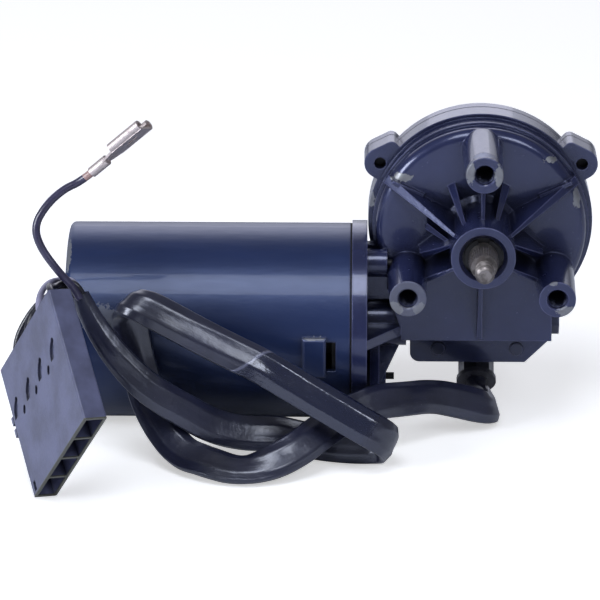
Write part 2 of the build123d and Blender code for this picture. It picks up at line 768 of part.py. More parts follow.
with BuildPart() as through_bolts:
    rods(across(CAN_LEFT), BOLT_R, RING_RIGHT + BOSS_LONG - CAN_LEFT, bolt_points)
    rods(across(RING_RIGHT + BOSS_LONG), BOLT_NOSE_R, BOLT_NOSE_LONG, bolt_points)
    for point in bolt_points:
        with BuildSketch(across(CAN_LEFT)):
            with Locations(point):
                Circle(BOLT_HEAD_R)
        extrude(amount=BOLT_HEAD_THICK, taper=BOLT_TAPER)

# --- Motor: field magnets, bearings, armature and brush gear ---

with BuildPart() as field_magnets:
    with BuildSketch(across(MAGNET_LEFT)):
        for angle in MAGNET_ANGLES:
            add(sector(MAGNET_BORE_R, CAN_BORE_R - SEAT_GAP, angle, MAGNET_ARC))
    extrude(amount=MAGNET_LONG)

with BuildPart() as rear_bush:
    ring(across(CAP_LEFT + CAP_WALL), CAP_BORE_R, JOURNAL_R + RUNNING, CAP_LONG + CAN_WALL - CAP_WALL)

with BuildPart() as front_bush:
    ring(across(RING_LEFT), FRONT_BUSH_R, BUSH_BORE_R, BUSH_LONG)

with BuildPart() as tail_bush:
    ring(across(WORM_END), TAIL_BUSH_R, TAIL_R + RUNNING, TAIL_LONG)

with BuildPart() as thrust_screw:
    rods(across(WORM_END + TAIL_LONG), THRUST_SCREW_R, THRUST_SCREW_LONG)
    with BuildSketch(across(WORM_END + TAIL_LONG + THRUST_SCREW_LONG)):
        Rectangle(THRUST_SLOT, 3 * THRUST_SCREW_R)
    extrude(amount=-THRUST_SLOT, mode=Mode.SUBTRACT)

with BuildPart() as thrust_nut:
    with BuildSketch(across(BOX_RIGHT)):
        RegularPolygon(THRUST_NUT_FLAT / 2, 6, major_radius=False)
        Circle(THRUST_SCREW_R, mode=Mode.SUBTRACT)
    extrude(amount=THRUST_NUT_THICK)

# The worm's thread starts at the angle that puts a groove's middle at the wheel's lowest tooth
worm_start = 90 - 360 * (0.5 + WORM_LONG / 2 / WORM_LEAD)
worm_plane = across(-WORM_LONG / 2, worm_start)

with BuildPart() as armature_shaft:
    turned(
        (CAP_LEFT + CAP_WALL + END_GAP, 0),
        (CAP_LEFT + CAP_WALL + END_GAP, JOURNAL_R),
        (CORE_LEFT - 2 * COIL_END, JOURNAL_R),
        (CORE_LEFT - 2 * COIL_END, SHAFT_R),
        (-WORM_END - SHAFT_R + WORM_CORE_R, SHAFT_R),
        (-WORM_END, WORM_CORE_R),
        (WORM_END, WORM_CORE_R),
        (WORM_END, TAIL_R),
        (WORM_END + TAIL_LONG - END_GAP, TAIL_R),
        (WORM_END + TAIL_LONG - END_GAP, 0),
        axis=MOTOR_AXIS,
        plane=along_motor(),
    )
    thread = helix(worm_plane, WORM_LEAD, WORM_LONG, WORM_CORE_R)
    with BuildSketch(Plane(thread @ 0, x_dir=worm_plane.x_dir, z_dir=thread % 0)) as thread_section:
        with BuildLine():
            Polyline(
                (-THREAD_ROOT, -half_tooth(-DEDENDUM - THREAD_ROOT)),
                (DEDENDUM + ADDENDUM, -half_tooth(ADDENDUM)),
                (DEDENDUM + ADDENDUM, half_tooth(ADDENDUM)),
                (-THREAD_ROOT, half_tooth(-DEDENDUM - THREAD_ROOT)),
                close=True,
            )
        make_face()
    sweep(thread_section.sketch, path=thread, is_frenet=True)

with BuildPart() as armature_core:
    with BuildSketch(across(CORE_LEFT)):
        Circle(CORE_R)
        Circle(SHAFT_R, mode=Mode.SUBTRACT)
        with PolarLocations(0, CORE_SLOTS):
            add(sector(CORE_HUB_R, CORE_R - CORE_RIM, 0, CORE_SLOT_ARC), mode=Mode.SUBTRACT)
        with PolarLocations(CORE_R - CORE_RIM / 2, CORE_SLOTS):
            Rectangle(2 * CORE_RIM, SLOT_MOUTH, mode=Mode.SUBTRACT)
    extrude(amount=CORE_LONG)

with BuildPart() as armature_coils:
    coil_in, coil_out = CORE_HUB_R + COIL_GAP, CORE_R - CORE_RIM - COIL_GAP
    with BuildSketch(across(CORE_LEFT)):
        with PolarLocations(0, CORE_SLOTS):
            add(sector(coil_in, coil_out, 0, CORE_SLOT_ARC - 2 * COIL_GAP))
    extrude(amount=CORE_LONG)
    ring(across(CORE_LEFT), coil_out, coil_in, -COIL_END)
    ring(across(CORE_LEFT + CORE_LONG), coil_out, coil_in, COIL_END)

with BuildPart() as commutator:
    with BuildSketch(across(COMMUTATOR_LEFT)):
        Circle(COMMUTATOR_R)
        Circle(SHAFT_R, mode=Mode.SUBTRACT)
        with PolarLocations(COMMUTATOR_R, COMMUTATOR_BARS, start_angle=180 / COMMUTATOR_BARS):
            Rectangle(2 * BAR_DEEP, BAR_GAP, mode=Mode.SUBTRACT)
    extrude(amount=COMMUTATOR_LONG)

with BuildPart() as brush_plate:
    with BuildSketch(across(SPIGOT_LEFT)):
        Circle(SPIGOT_R)
        Circle(COMMUTATOR_R + HOLDER_WALL, mode=Mode.SUBTRACT)
    extrude(amount=-PLATE_THICK)
    holder_in = COMMUTATOR_R + HOLDER_WALL
    holder_left = PAD_X - BRUSH_LONG / 2 - HOLDER_WALL
    for angle in BRUSH_ANGLES:
        with BuildSketch(across(holder_left, angle)):
            with Locations(((holder_in + HOLDER_R) / 2, 0)):
                Rectangle(HOLDER_R - holder_in, BRUSH_WIDE + 2 * HOLDER_WALL)
        extrude(amount=SPIGOT_LEFT - PLATE_THICK - holder_left)
        with BuildSketch(across(PAD_X - BRUSH_LONG / 2 - SEAT_GAP, angle)):
            with Locations(((HOLDER_R - HOLDER_WALL) / 2, 0)):
                Rectangle(HOLDER_R - HOLDER_WALL, BRUSH_WIDE + 2 * SEAT_GAP)
        extrude(amount=BRUSH_LONG + 2 * SEAT_GAP, mode=Mode.SUBTRACT)
    bore(across(SPIGOT_LEFT), BOLT_R + SCREW_GAP, -PLATE_THICK, bolt_points)

with BuildPart() as brushes:
    for angle in BRUSH_ANGLES:
        with BuildSketch(across(PAD_X - BRUSH_LONG / 2, angle)):
            with Locations((COMMUTATOR_R + BRUSH_DEEP / 2, 0)):
                Rectangle(BRUSH_DEEP, BRUSH_WIDE)
        extrude(amount=BRUSH_LONG)
    bore(across(PAD_X - BRUSH_LONG / 2), COMMUTATOR_R + RUNNING, BRUSH_LONG)

with BuildPart() as brush_springs:
    spring_in = COMMUTATOR_R + BRUSH_DEEP + SPRING_WIRE_R
    spring_out = HOLDER_R - HOLDER_WALL - SPRING_WIRE_R
    for angle in BRUSH_ANGLES:
        outward = across(PAD_X, angle).x_dir
        spring_plane = Plane(Vector(PAD_X, GEAR_Y, MOTOR_Z) + outward * spring_in, z_dir=outward)
        coil = helix(spring_plane, (spring_out - spring_in) / SPRING_TURNS, spring_out - spring_in, SPRING_R)
        with BuildSketch(Plane(coil @ 0, z_dir=coil % 0)) as wire:
            RegularPolygon(SPRING_WIRE_R, 6)
        sweep(wire.sketch, path=coil, is_frenet=True)

# --- Worm wheel and output shaft ---

with BuildPart() as worm_wheel:
    helix_turn = degrees(WHEEL_WIDE / 2 * WORM_LEAD / (2 * pi * WORM_PITCH_R) / WHEEL_PITCH_R)
    loft(
        [
            tooth_outline(facing(GEAR_Y + WHEEL_WIDE / 2), -helix_turn),
            tooth_outline(facing(GEAR_Y - WHEEL_WIDE / 2), helix_turn),
        ],
        ruled=True,
    )
    rim_r = WHEEL_PITCH_R - DEDENDUM - WHEEL_RIM
    for side in (-1, 1):
        bore(facing(GEAR_Y + side * WHEEL_WIDE / 2), rim_r, side * (WHEEL_WIDE - WHEEL_WEB) / 2)
    ring(facing(HUB_BACK_Y), HUB_R, OUTPUT_R, HUB_BACK_Y - HUB_FRONT_Y)
    with BuildSketch(facing(GEAR_Y)):
        with PolarLocations((rim_r + HUB_R) / 2, WHEEL_RIBS):
            Rectangle(rim_r - HUB_R + 1, WHEEL_RIB_THICK)
    extrude(amount=WHEEL_WIDE / 2)
    bore(facing(HUB_BACK_Y), OUTPUT_R, HUB_BACK_Y)

with BuildPart() as drive_shaft:
    turned(
        (0, SHAFT_BACK_Y),
        (OUTPUT_R, SHAFT_BACK_Y),
        (OUTPUT_R, CLIP_Y + CLIP_THICK + RUNNING),
        (OUTPUT_R - GROOVE_DEEP, CLIP_Y + CLIP_THICK + RUNNING),
        (OUTPUT_R - GROOVE_DEEP, CLIP_Y - RUNNING),
        (OUTPUT_R, CLIP_Y - RUNNING),
        (OUTPUT_R, CONE_Y),
        (UNDERCUT_R, CONE_Y),
        (UNDERCUT_R, NOSE_Y - UNDERCUT_LONG),
        (STUD_R, NOSE_Y - UNDERCUT_LONG - STUD_R + UNDERCUT_R),
        (STUD_R, STUD_END_Y + STUD_POINT),
        (STUD_R - STUD_POINT, STUD_END_Y),
        (0, STUD_END_Y),
    )
    loft([knurl_outline(facing(CONE_Y), CONE_BASE_R), knurl_outline(facing(NOSE_Y), CONE_NOSE_R)], ruled=True)

with BuildPart() as shaft_bushes:
    for back_y in (NECK_BACK_Y, NECK_RECESS + SEAL_THICK + SHAFT_BUSH_LONG):
        ring(facing(back_y), NECK_BORE_R, SHAFT_BORE_R, SHAFT_BUSH_LONG)

with BuildPart() as neck_seal:
    ring(facing(NECK_RECESS + SEAL_THICK), NECK_BORE_R, SHAFT_BORE_R, SEAL_THICK)

with BuildPart() as shaft_washer:
    ring(facing(NECK_RECESS), WASHER_R, SHAFT_BORE_R, NECK_RECESS - CLIP_Y - CLIP_THICK - END_GAP)

with BuildPart() as shaft_clip:
    with BuildSketch(facing(CLIP_Y + CLIP_THICK)):
        add(sector(OUTPUT_R - GROOVE_DEEP + RUNNING, CLIP_R, -90, CLIP_ARC))
    extrude(amount=CLIP_THICK)

with BuildPart() as thrust_washer:
    ring(facing(NECK_BACK_Y + WASHER_THICK), NECK_R, SHAFT_BORE_R, WASHER_THICK)

# --- Back cover, park switch and terminal box ---

with BuildPart() as cover_gasket:
    with BuildSketch(facing(COVER_Y)):
        add(flange_outline())
        add(box_outline())
        Circle(CAVITY_R, mode=Mode.SUBTRACT)
        with Locations(*lug_points):
            Circle(LUG_BORE_R, mode=Mode.SUBTRACT)
    extrude(amount=SHEET_THICK)

with BuildPart() as gear_cover:
    with BuildSketch(facing(COVER_BACK_Y)) as tab:
        with BuildLine():
            Polyline(
                (TAB_LEFT, TAB_TOP),
                (TAB_LEFT, TAB_BOTTOM),
                (TAB_RIGHT - TAB_CUT, TAB_BOTTOM),
                (TAB_RIGHT, TAB_BOTTOM + TAB_CUT),
                (TAB_RIGHT, TAB_TOP),
                close=True,
            )
        make_face()
        fillet(tab.vertices().group_by(Axis.Y)[0].sort_by(Axis.X)[0], TAB_ROUND)
        add(flange_outline())
    extrude(amount=COVER_THICK)
    bore(facing(COVER_Y), COVER_DISH_R, -COVER_DISH)
    bore(facing(COVER_BACK_Y), LUG_BORE_R, COVER_THICK, lug_points)
    bore(facing(COVER_BACK_Y), RIVET_R, COVER_THICK, rivet_points)
    with BuildSketch(facing(COVER_BACK_Y)):
        with Locations((0, COVER_WINDOW_Z)):
            Rectangle(COVER_WINDOW_WIDE, COVER_WINDOW_HIGH)
    extrude(amount=COVER_THICK, mode=Mode.SUBTRACT)

with BuildPart() as cover_screws:
    rods(facing(COVER_BACK_Y), SCREW_R, COVER_BACK_Y - FLANGE_Y - SCREW_SHORT, lug_points)
    rods(facing(COVER_BACK_Y), SCREW_HEAD_R, -SCREW_HEAD, lug_points)

with BuildPart() as park_disc:
    with BuildSketch(facing(DISC_BACK_Y)):
        Circle(DISC_R)
        Circle(HUB_R + SEAT_GAP, mode=Mode.SUBTRACT)
        add(sector(DISC_NOTCH_R, DISC_R + 1, 90, DISC_NOTCH_ARC), mode=Mode.SUBTRACT)
    extrude(amount=DISC_THICK)

with BuildPart() as contact_board:
    with BuildSketch(facing(BOARD_Y + BOARD_THICK)):
        with Locations((0, (BOARD_TOP_Z + BOARD_FOOT_Z) / 2)):
            Rectangle(BOARD_WIDE, BOARD_TOP_Z - BOARD_FOOT_Z)
    extrude(amount=BOARD_THICK)

with BuildPart() as park_contacts:
    for x in CONTACT_XS:
        with BuildSketch(Plane.YZ.offset(x - CONTACT_WIDE / 2)):
            with BuildLine():
                Polyline(
                    (BOARD_Y, CONTACT_FOOT_Z),
                    (BOARD_Y, CONTACT_FOOT_Z + 3),
                    (DISC_BACK_Y + END_GAP + CONTACT_THICK, CONTACT_TIP_Z),
                    (DISC_BACK_Y + END_GAP, CONTACT_TIP_Z),
                    (BOARD_Y - CONTACT_THICK, CONTACT_FOOT_Z + 3),
                    (BOARD_Y - CONTACT_THICK, CONTACT_FOOT_Z),
                    close=True,
                )
            make_face()
        extrude(amount=CONTACT_WIDE)

with BuildPart() as terminal_box:
    box_top = BOX_FLANGE_TOP - BOX_BODY_WALL
    with BuildSketch(facing(FLANGE_BACK_Y)):
        with Locations((0, (BOX_FLANGE_TOP + BOX_FOOT_Z) / 2)):
            Rectangle(BOX_FLANGE_WIDE, BOX_FLANGE_TOP - BOX_FOOT_Z)
    extrude(amount=BOX_FLANGE_THICK)
    with BuildSketch(facing(BOX_BACK_Y)):
        with Locations((0, (box_top + BOX_FOOT_Z) / 2)):
            Rectangle(BOX_BODY_WIDE, box_top - BOX_FOOT_Z)
    extrude(amount=BOX_BODY_DEEP)
    with BuildSketch(facing(BOX_BACK_Y - BOX_BODY_WALL)):
        with Locations((0, (box_top + BOX_FOOT_Z) / 2)):
            Rectangle(BOX_BODY_WIDE - 2 * BOX_BODY_WALL, box_top - BOX_FOOT_Z - 2 * BOX_BODY_WALL)
    extrude(amount=BOX_BODY_DEEP, mode=Mode.SUBTRACT)
    bore(Plane.XY.offset(BOX_FOOT_Z), BOOT_NECK_R, BOX_BODY_WALL, [BOOT_ROUTE[0][:2]])
    bore(facing(FLANGE_BACK_Y), RIVET_R, BOX_FLANGE_THICK, rivet_points)

with BuildPart() as cover_rivets:
    rods(facing(FLANGE_BACK_Y), RIVET_R, FLANGE_BACK_Y - COVER_Y, rivet_points)
    rods(facing(FLANGE_BACK_Y), RIVET_HEAD_R, -RIVET_HEAD, rivet_points)
    rods(facing(COVER_Y), RIVET_HEAD_R, RIVET_HEAD, rivet_points)

# --- Cable boot, harness sleeve, leads and earth wire ---

with BuildPart() as cable_boot:
    tube(BOOT_ROUTE, BOOT_R, BOOT_BEND)
    boot_way = Vector(*BOOT_ROUTE[2]) - Vector(*BOOT_ROUTE[1])
    rods(Plane(BOOT_ROUTE[2], z_dir=boot_way), BOOT_LIP_R, -BOOT_LIP)
    rods(Plane.XY.offset(BOX_FOOT_Z), BOOT_NECK_R, BOOT_NECK, [BOOT_ROUTE[0][:2]])

with BuildPart() as harness_sleeve:
    sleeve_long = tube(SLEEVE_ROUTE, SLEEVE_R)
report_cord("harness sleeve", harness_sleeve.part, SLEEVE_ROUTE, SLEEVE_R, sleeve_long)

plug_plane = Plane(PLUG_CENTRE, x_dir=PLUG_LONG_WAY, z_dir=PLUG_BACK_WAY)
circuit_pitch = (PLUG_WIDE - CIRCUIT_WALL) / CIRCUITS
circuit_ys = [(number - (CIRCUITS - 1) / 2) * circuit_pitch for number in range(CIRCUITS)]

with BuildPart() as plug_leads:
    for route, y in zip(LEAD_ROUTES, circuit_ys):
        tail = [tuple(plug_plane.from_local_coords((-PLUG_LONG / 2 - gap, y, 0))) for gap in (LEAD_TAIL, 0)]
        lead_long = tube((*route, *tail), LEAD_R)
        print(f"plug lead: {lead_long:.0f} mm")

with BuildPart() as earth_wire:
    wire_long = tube(WIRE_ROUTE, WIRE_R)
report_cord("earth wire", earth_wire.part, WIRE_ROUTE, WIRE_R, wire_long)

# --- Plug with its terminals, and the earth terminal ---

mouth_plane = Plane(
    plug_plane.from_local_coords(Vector(PLUG_LONG / 2, 0, 0)), x_dir=plug_plane.y_dir, z_dir=plug_plane.x_dir
)

with BuildPart() as plug_housing:
    with BuildSketch(plug_plane.offset(-PLUG_THICK / 2)):
        Rectangle(PLUG_LONG, PLUG_WIDE)
    extrude(amount=PLUG_THICK)
    fillet(plug_housing.edges().filter_by(Axis(PLUG_CENTRE, plug_plane.x_dir)), PLUG_EDGE)
    with BuildSketch(plug_plane.offset(-PLUG_THICK / 2)):
        with Locations(*[(x, (PLUG_WIDE + LATCH_RISE) / 2) for x in LATCH_XS]):
            Rectangle(LATCH_LONG, LATCH_RISE)
    extrude(amount=LATCH_THICK)
    with BuildSketch(mouth_plane):
        with Locations(*[(y, 0) for y in circuit_ys]):
            Rectangle(circuit_pitch - CIRCUIT_WALL, PLUG_THICK - 2 * CIRCUIT_WALL)
    extrude(amount=-CIRCUIT_DEEP, mode=Mode.SUBTRACT)
    bend_x, bend_y = polar(CLIP_SLOT_BEND, MARK_TURN + 90)
    with BuildSketch(plug_plane.offset(-PLUG_THICK / 2)):
        with Locations(*[(CLIP_SLOT_X - bend_x, y + CLIP_SLOT_SHIFT - bend_y) for y in circuit_ys]):
            add(
                sector(
                    CLIP_SLOT_BEND - CLIP_SLOT_WIDE / 2,
                    CLIP_SLOT_BEND + CLIP_SLOT_WIDE / 2,
                    MARK_TURN + 90,
                    CLIP_SLOT_ARC,
                )
            )
        with Locations(*[(CLIP_SLOT_X - HOOK_BACK, y + CLIP_SLOT_SHIFT - HOOK_SHIFT) for y in circuit_ys]):
            Circle(HOOK_R)
        with Locations(*[(EYE_X, y + CLIP_SLOT_SHIFT + EYE_SHIFT) for y in circuit_ys[:-1]]):
            SlotOverall(EYE_LONG, EYE_WIDE, rotation=MARK_TURN)
    extrude(amount=MARK_DEEP, mode=Mode.SUBTRACT)
    with BuildSketch(plug_plane.offset(-PLUG_THICK / 2)):
        with Locations((CORNER_SLIT_X, (PLUG_WIDE - CORNER_SLIT_WIDE) / 2 - CORNER_SLIT_EDGE)):
            Rectangle(CORNER_SLIT_LONG, CORNER_SLIT_WIDE)
    extrude(amount=CIRCUIT_WALL, mode=Mode.SUBTRACT)

with BuildPart() as plug_terminals:
    seat_z = PLUG_THICK / 2 - CIRCUIT_WALL - TERMINAL_HIGH / 2
    with BuildSketch(mouth_plane.offset(-TERMINAL_BACK)):
        with Locations(*[(y, seat_z) for y in circuit_ys]):
            Rectangle(TERMINAL_WIDE, TERMINAL_HIGH)
            offset(amount=-TERMINAL_WALL, mode=Mode.SUBTRACT)
        with Locations(*[(y, seat_z - TERMINAL_HIGH / 2) for y in circuit_ys]):
            Rectangle(TERMINAL_MOUTH, 2 * TERMINAL_WALL, mode=Mode.SUBTRACT)
    extrude(amount=-TERMINAL_LONG)

earth_up = Vector(*EARTH_LONG_WAY).cross(Vector(*EARTH_WIDE_WAY))
earth_plane = Plane(WIRE_ROUTE[-1], x_dir=EARTH_LONG_WAY, z_dir=earth_up)

with BuildPart() as earth_terminal:
    rods(Plane(WIRE_ROUTE[-1], z_dir=EARTH_LONG_WAY), CRIMP_R, CRIMP_LONG)
    with BuildSketch(earth_plane.offset(-EARTH_PLATE / 2)):
        with BuildLine():
            Polyline(
                (CRIMP_LONG - 1, -CRIMP_R),
                (CRIMP_LONG + EARTH_NECK, -EARTH_WIDE / 2),
                (CRIMP_LONG + EARTH_NECK + EARTH_LONG, -EARTH_WIDE / 2),
                (CRIMP_LONG + EARTH_NECK + EARTH_LONG, EARTH_WIDE / 2),
                (CRIMP_LONG + EARTH_NECK, EARTH_WIDE / 2),
                (CRIMP_LONG - 1, CRIMP_R),
                close=True,
            )
        make_face()
        with Locations((CRIMP_LONG + EARTH_NECK + EARTH_LONG / 2, 0)):
            SlotOverall(DIMPLE_LONG, DIMPLE_WIDE, mode=Mode.SUBTRACT)
    extrude(amount=EARTH_PLATE)
    curl_plane = Plane(
        earth_plane.from_local_coords(Vector(CRIMP_LONG + EARTH_NECK, 0, CURL_R - EARTH_PLATE / 2)),
        x_dir=earth_plane.y_dir,
        z_dir=earth_plane.x_dir,
    )
    with BuildSketch(curl_plane):
        for side in (-1, 1):
            with Locations((side * (EARTH_WIDE / 2 - EARTH_PLATE), 0)):
                add(sector(CURL_R - EARTH_PLATE, CURL_R, -90 + side * (CURL_ARC / 2 - 20), CURL_ARC))
    extrude(amount=EARTH_LONG)

PIECES = {
    "gear_housing": gear_housing,
    "motor_can": motor_can,
    "can_gasket": can_gasket,
    "through_bolts": through_bolts,
    "field_magnets": field_magnets,
    "rear_bush": rear_bush,
    "front_bush": front_bush,
    "tail_bush": tail_bush,
    "thrust_screw": thrust_screw,
    "thrust_nut": thrust_nut,
    "armature_shaft": armature_shaft,
    "armature_core": armature_core,
    "armature_coils": armature_coils,
    "commutator": commutator,
    "brush_plate": brush_plate,
    "brushes": brushes,
    "brush_springs": brush_springs,
    "worm_wheel": worm_wheel,
    "drive_shaft": drive_shaft,
    "shaft_bushes": shaft_bushes,
    "neck_seal": neck_seal,
    "shaft_washer": shaft_washer,
    "shaft_clip": shaft_clip,
    "thrust_washer": thrust_washer,
    "cover_gasket": cover_gasket,
    "gear_cover": gear_cover,
    "cover_screws": cover_screws,
    "park_disc": park_disc,
    "contact_board": contact_board,
    "park_contacts": park_contacts,
    "terminal_box": terminal_box,
    "cover_rivets": cover_rivets,
    "cable_boot": cable_boot,
    "harness_sleeve": harness_sleeve,
    "plug_leads": plug_leads,
    "plug_housing": plug_housing,
    "plug_terminals": plug_terminals,
    "earth_wire": earth_wire,
    "earth_terminal": earth_terminal,
}
for name, piece in PIECES.items():
    piece.part.label = name
    export_step(piece.part, f"parts/{name}.step")
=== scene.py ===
"""Looks of the wiper motor: its finishes, its sleeved cable and wires, and the studio round it."""

import logging
import math
from dataclasses import dataclass, field
from enum import Enum
from typing import Any, Sequence

import bpy
from mathutils import Matrix, Vector, noise


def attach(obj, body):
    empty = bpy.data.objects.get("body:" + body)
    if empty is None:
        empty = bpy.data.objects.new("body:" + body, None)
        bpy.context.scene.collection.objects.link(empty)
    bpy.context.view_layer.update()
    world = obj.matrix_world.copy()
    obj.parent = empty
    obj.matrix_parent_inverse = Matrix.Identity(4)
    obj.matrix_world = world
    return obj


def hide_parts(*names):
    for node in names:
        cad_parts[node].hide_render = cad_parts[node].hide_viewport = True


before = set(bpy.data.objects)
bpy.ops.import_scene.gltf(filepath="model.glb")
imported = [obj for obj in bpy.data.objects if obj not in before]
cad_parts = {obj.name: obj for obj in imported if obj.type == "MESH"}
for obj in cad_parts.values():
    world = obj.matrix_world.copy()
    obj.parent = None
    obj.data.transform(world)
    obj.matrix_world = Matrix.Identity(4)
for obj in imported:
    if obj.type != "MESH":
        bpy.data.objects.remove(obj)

LOG = logging.getLogger("wiper_motor")

Point = tuple[float, float, float]
Colour = tuple[float, float, float]
Pair = tuple[float, float]

# Lengths are in millimetres unless a docstring says otherwise, and angles are in degrees.
MM = 0.001
FLOOR_Z = -73.5
TINY = 1e-9
EVEN: Point = (1.0, 1.0, 1.0)
WHITE: Colour = (1.0, 1.0, 1.0)
BLACK: Colour = (0.0, 0.0, 0.0)

# The sleeve leaves the boot, runs forwards under the can, climbs to its fold at the upper left,
# comes down in front of the can to its fold at the right, and lies along the floor before it
# rises to its mouth beside the plug.
SLEEVE_POINTS: tuple[Point, ...] = (
    (0.0, 54.93, -66.24), (0.0, 49.85, -69.797), (6.6, 28.9, -67.3),
    (-5.3, 22.9, -61.8), (-16.6, 18.9, -58.0), (-26.3, 11.6, -56.4),
    (-36.1, 4.0, -54.6), (-45.9, -2.0, -56.7), (-55.3, -12.0, -59.3),
    (-63.5, -20.5, -63.1), (-73.4, -26.0, -66.7), (-84.1, -27.0, -69.2),
    (-95.4, -22.5, -67.3), (-104.7, -15.5, -66.8), (-111.9, -8.0, -60.0),
    (-116.6, -3.0, -52.6), (-118.8, 0.5, -45.0), (-121.2, 1.5, -36.4),
    (-122.5, 1.5, -27.5), (-123.4, 1.0, -18.4), (-122.1, -7.5, -14.0),
    (-115.1, -9.5, -15.8), (-106.2, -10.0, -20.7), (-97.2, -11.0, -25.4),
    (-87.5, -12.0, -30.2), (-76.4, -13.0, -35.3), (-65.0, -15.0, -41.8),
    (-53.2, -17.5, -48.2), (-43.1, -19.5, -53.7), (-36.5, -20.5, -57.3),
    (-32.3, -17.0, -61.3), (-32.6, -9.0, -66.3), (-37.4, -6.5, -67.3),
    (-45.8, -6.5, -67.3), (-55.7, -4.0, -67.3), (-63.4, -2.0, -66.6),
    (-69.9, -1.0, -65.1), (-76.6, -2.5, -64.4), (-83.2, -4.5, -63.5),
    (-90.0, -6.5, -61.4), (-96.5, -8.5, -58.1), (-103.0, -11.0, -53.0),
    (-109.5, -12.5, -48.6), (-116.7, -13.0, -43.3), (-124.1, -12.0, -35.9),
    (-129.8, -11.0, -28.6), (-134.3, -9.0, -21.9), (-137.4, -7.7, -16.2),
    (-139.4, -7.0, -11.7),
)
# Each lead leaves the sleeve's mouth, passes behind the plug and ends in its own cell.
LEAD_POINTS: tuple[tuple[Point, ...], ...] = (
    (
        (-138.2, -7.7, -11.6), (-140.4, -7.5, -7.3), (-144.6, -6.6, -7.0),
        (-148.9, -13.5, -7.2), (-148.41, -28.52, -0.23), (-146.59, -33.04, -4.53),
    ),
    (
        (-138.9, -5.2, -11.9), (-141.1, -4.9, -7.6), (-145.4, -3.8, -7.0),
        (-151.2, -9.0, -6.8), (-153.35, -20.98, -10.24), (-151.53, -25.49, -14.54),
    ),
    (
        (-140.2, -7.7, -12.9), (-142.9, -7.5, -9.2), (-146.4, -6.5, -9.9),
        (-152.7, -9.2, -13.4), (-158.29, -13.43, -20.25), (-156.47, -17.95, -24.55),
    ),
    (
        (-140.9, -5.2, -12.6), (-143.6, -5.0, -9.0), (-147.0, -3.8, -10.6),
        (-155.9, -2.6, -17.3), (-163.23, -5.89, -30.26), (-161.41, -10.4, -34.56),
    ),
)
# The earth wire rises from the mouth in one arc and ends in its terminal's crimp.
EARTH_POINTS: tuple[Point, ...] = (
    (-139.4, -9.2, -12.2), (-141.6, -9.4, -7.9), (-146.0, -10.6, -2.6),
    (-152.7, -9.0, 6.2), (-154.8, -7.0, 13.3), (-150.5, -5.0, 20.4),
    (-144.5, -3.0, 25.5), (-139.1, -1.8, 27.6), (-134.8, -3.0, 31.5),
)


def metres(point: Sequence[float]) -> Vector:
    """A point or a direction given in millimetres, as a vector in metres."""
    return Vector(point) * MM


def scaled(colour: Colour, factor: float) -> Colour:
    """A colour made darker or lighter."""
    return tuple(factor * part for part in colour)


def deselect() -> None:
    """Deselect every object."""
    for thing in bpy.context.selected_objects:
        thing.select_set(False)


class Body(Enum):
    """The bodies that the new pieces ride on."""

    CASING = "casing"
    OUTPUT_SHAFT = "output_shaft"


class Term:
    """A number inside a node tree, with arithmetic that adds Math nodes."""

    def __init__(self, nodes: "Nodes", socket: bpy.types.NodeSocket) -> None:
        """Wrap a socket of a node tree."""
        self.nodes = nodes
        self.socket = socket

    def maths(self, operation: str, *others: Any) -> "Term":
        """Add a Math node that takes this term and then the others."""
        values = dict(enumerate((self, *others)))
        return self.nodes.term("ShaderNodeMath", {"operation": operation}, values)

    def __add__(self, other: Any) -> "Term":
        """Add a number or a term."""
        return self.maths("ADD", other)

    __radd__ = __add__

    def __mul__(self, other: Any) -> "Term":
        """Multiply by a number or a term."""
        return self.maths("MULTIPLY", other)

    __rmul__ = __mul__

    def __sub__(self, other: Any) -> "Term":
        """Subtract a number or a term."""
        return self.maths("SUBTRACT", other)

    def __rsub__(self, other: float) -> "Term":
        """Subtract this term from a number."""
        return self * -1.0 + other

    def step(self, low: float, high: float) -> "Term":
        """Rise smoothly from 0 to 1 between two values, or fall where low is above high.

        Args:
            low: the value that gives 0.
            high: the value that gives 1.

        Returns:
            The smooth step.
        """
        settings = {"interpolation_type": "SMOOTHSTEP"}
        values = {"Value": self, "From Min": low, "From Max": high}
        if low > high:
            values |= {"From Min": high, "From Max": low, "To Min": 1.0, "To Max": 0.0}
        return self.nodes.term("ShaderNodeMapRange", settings, values)


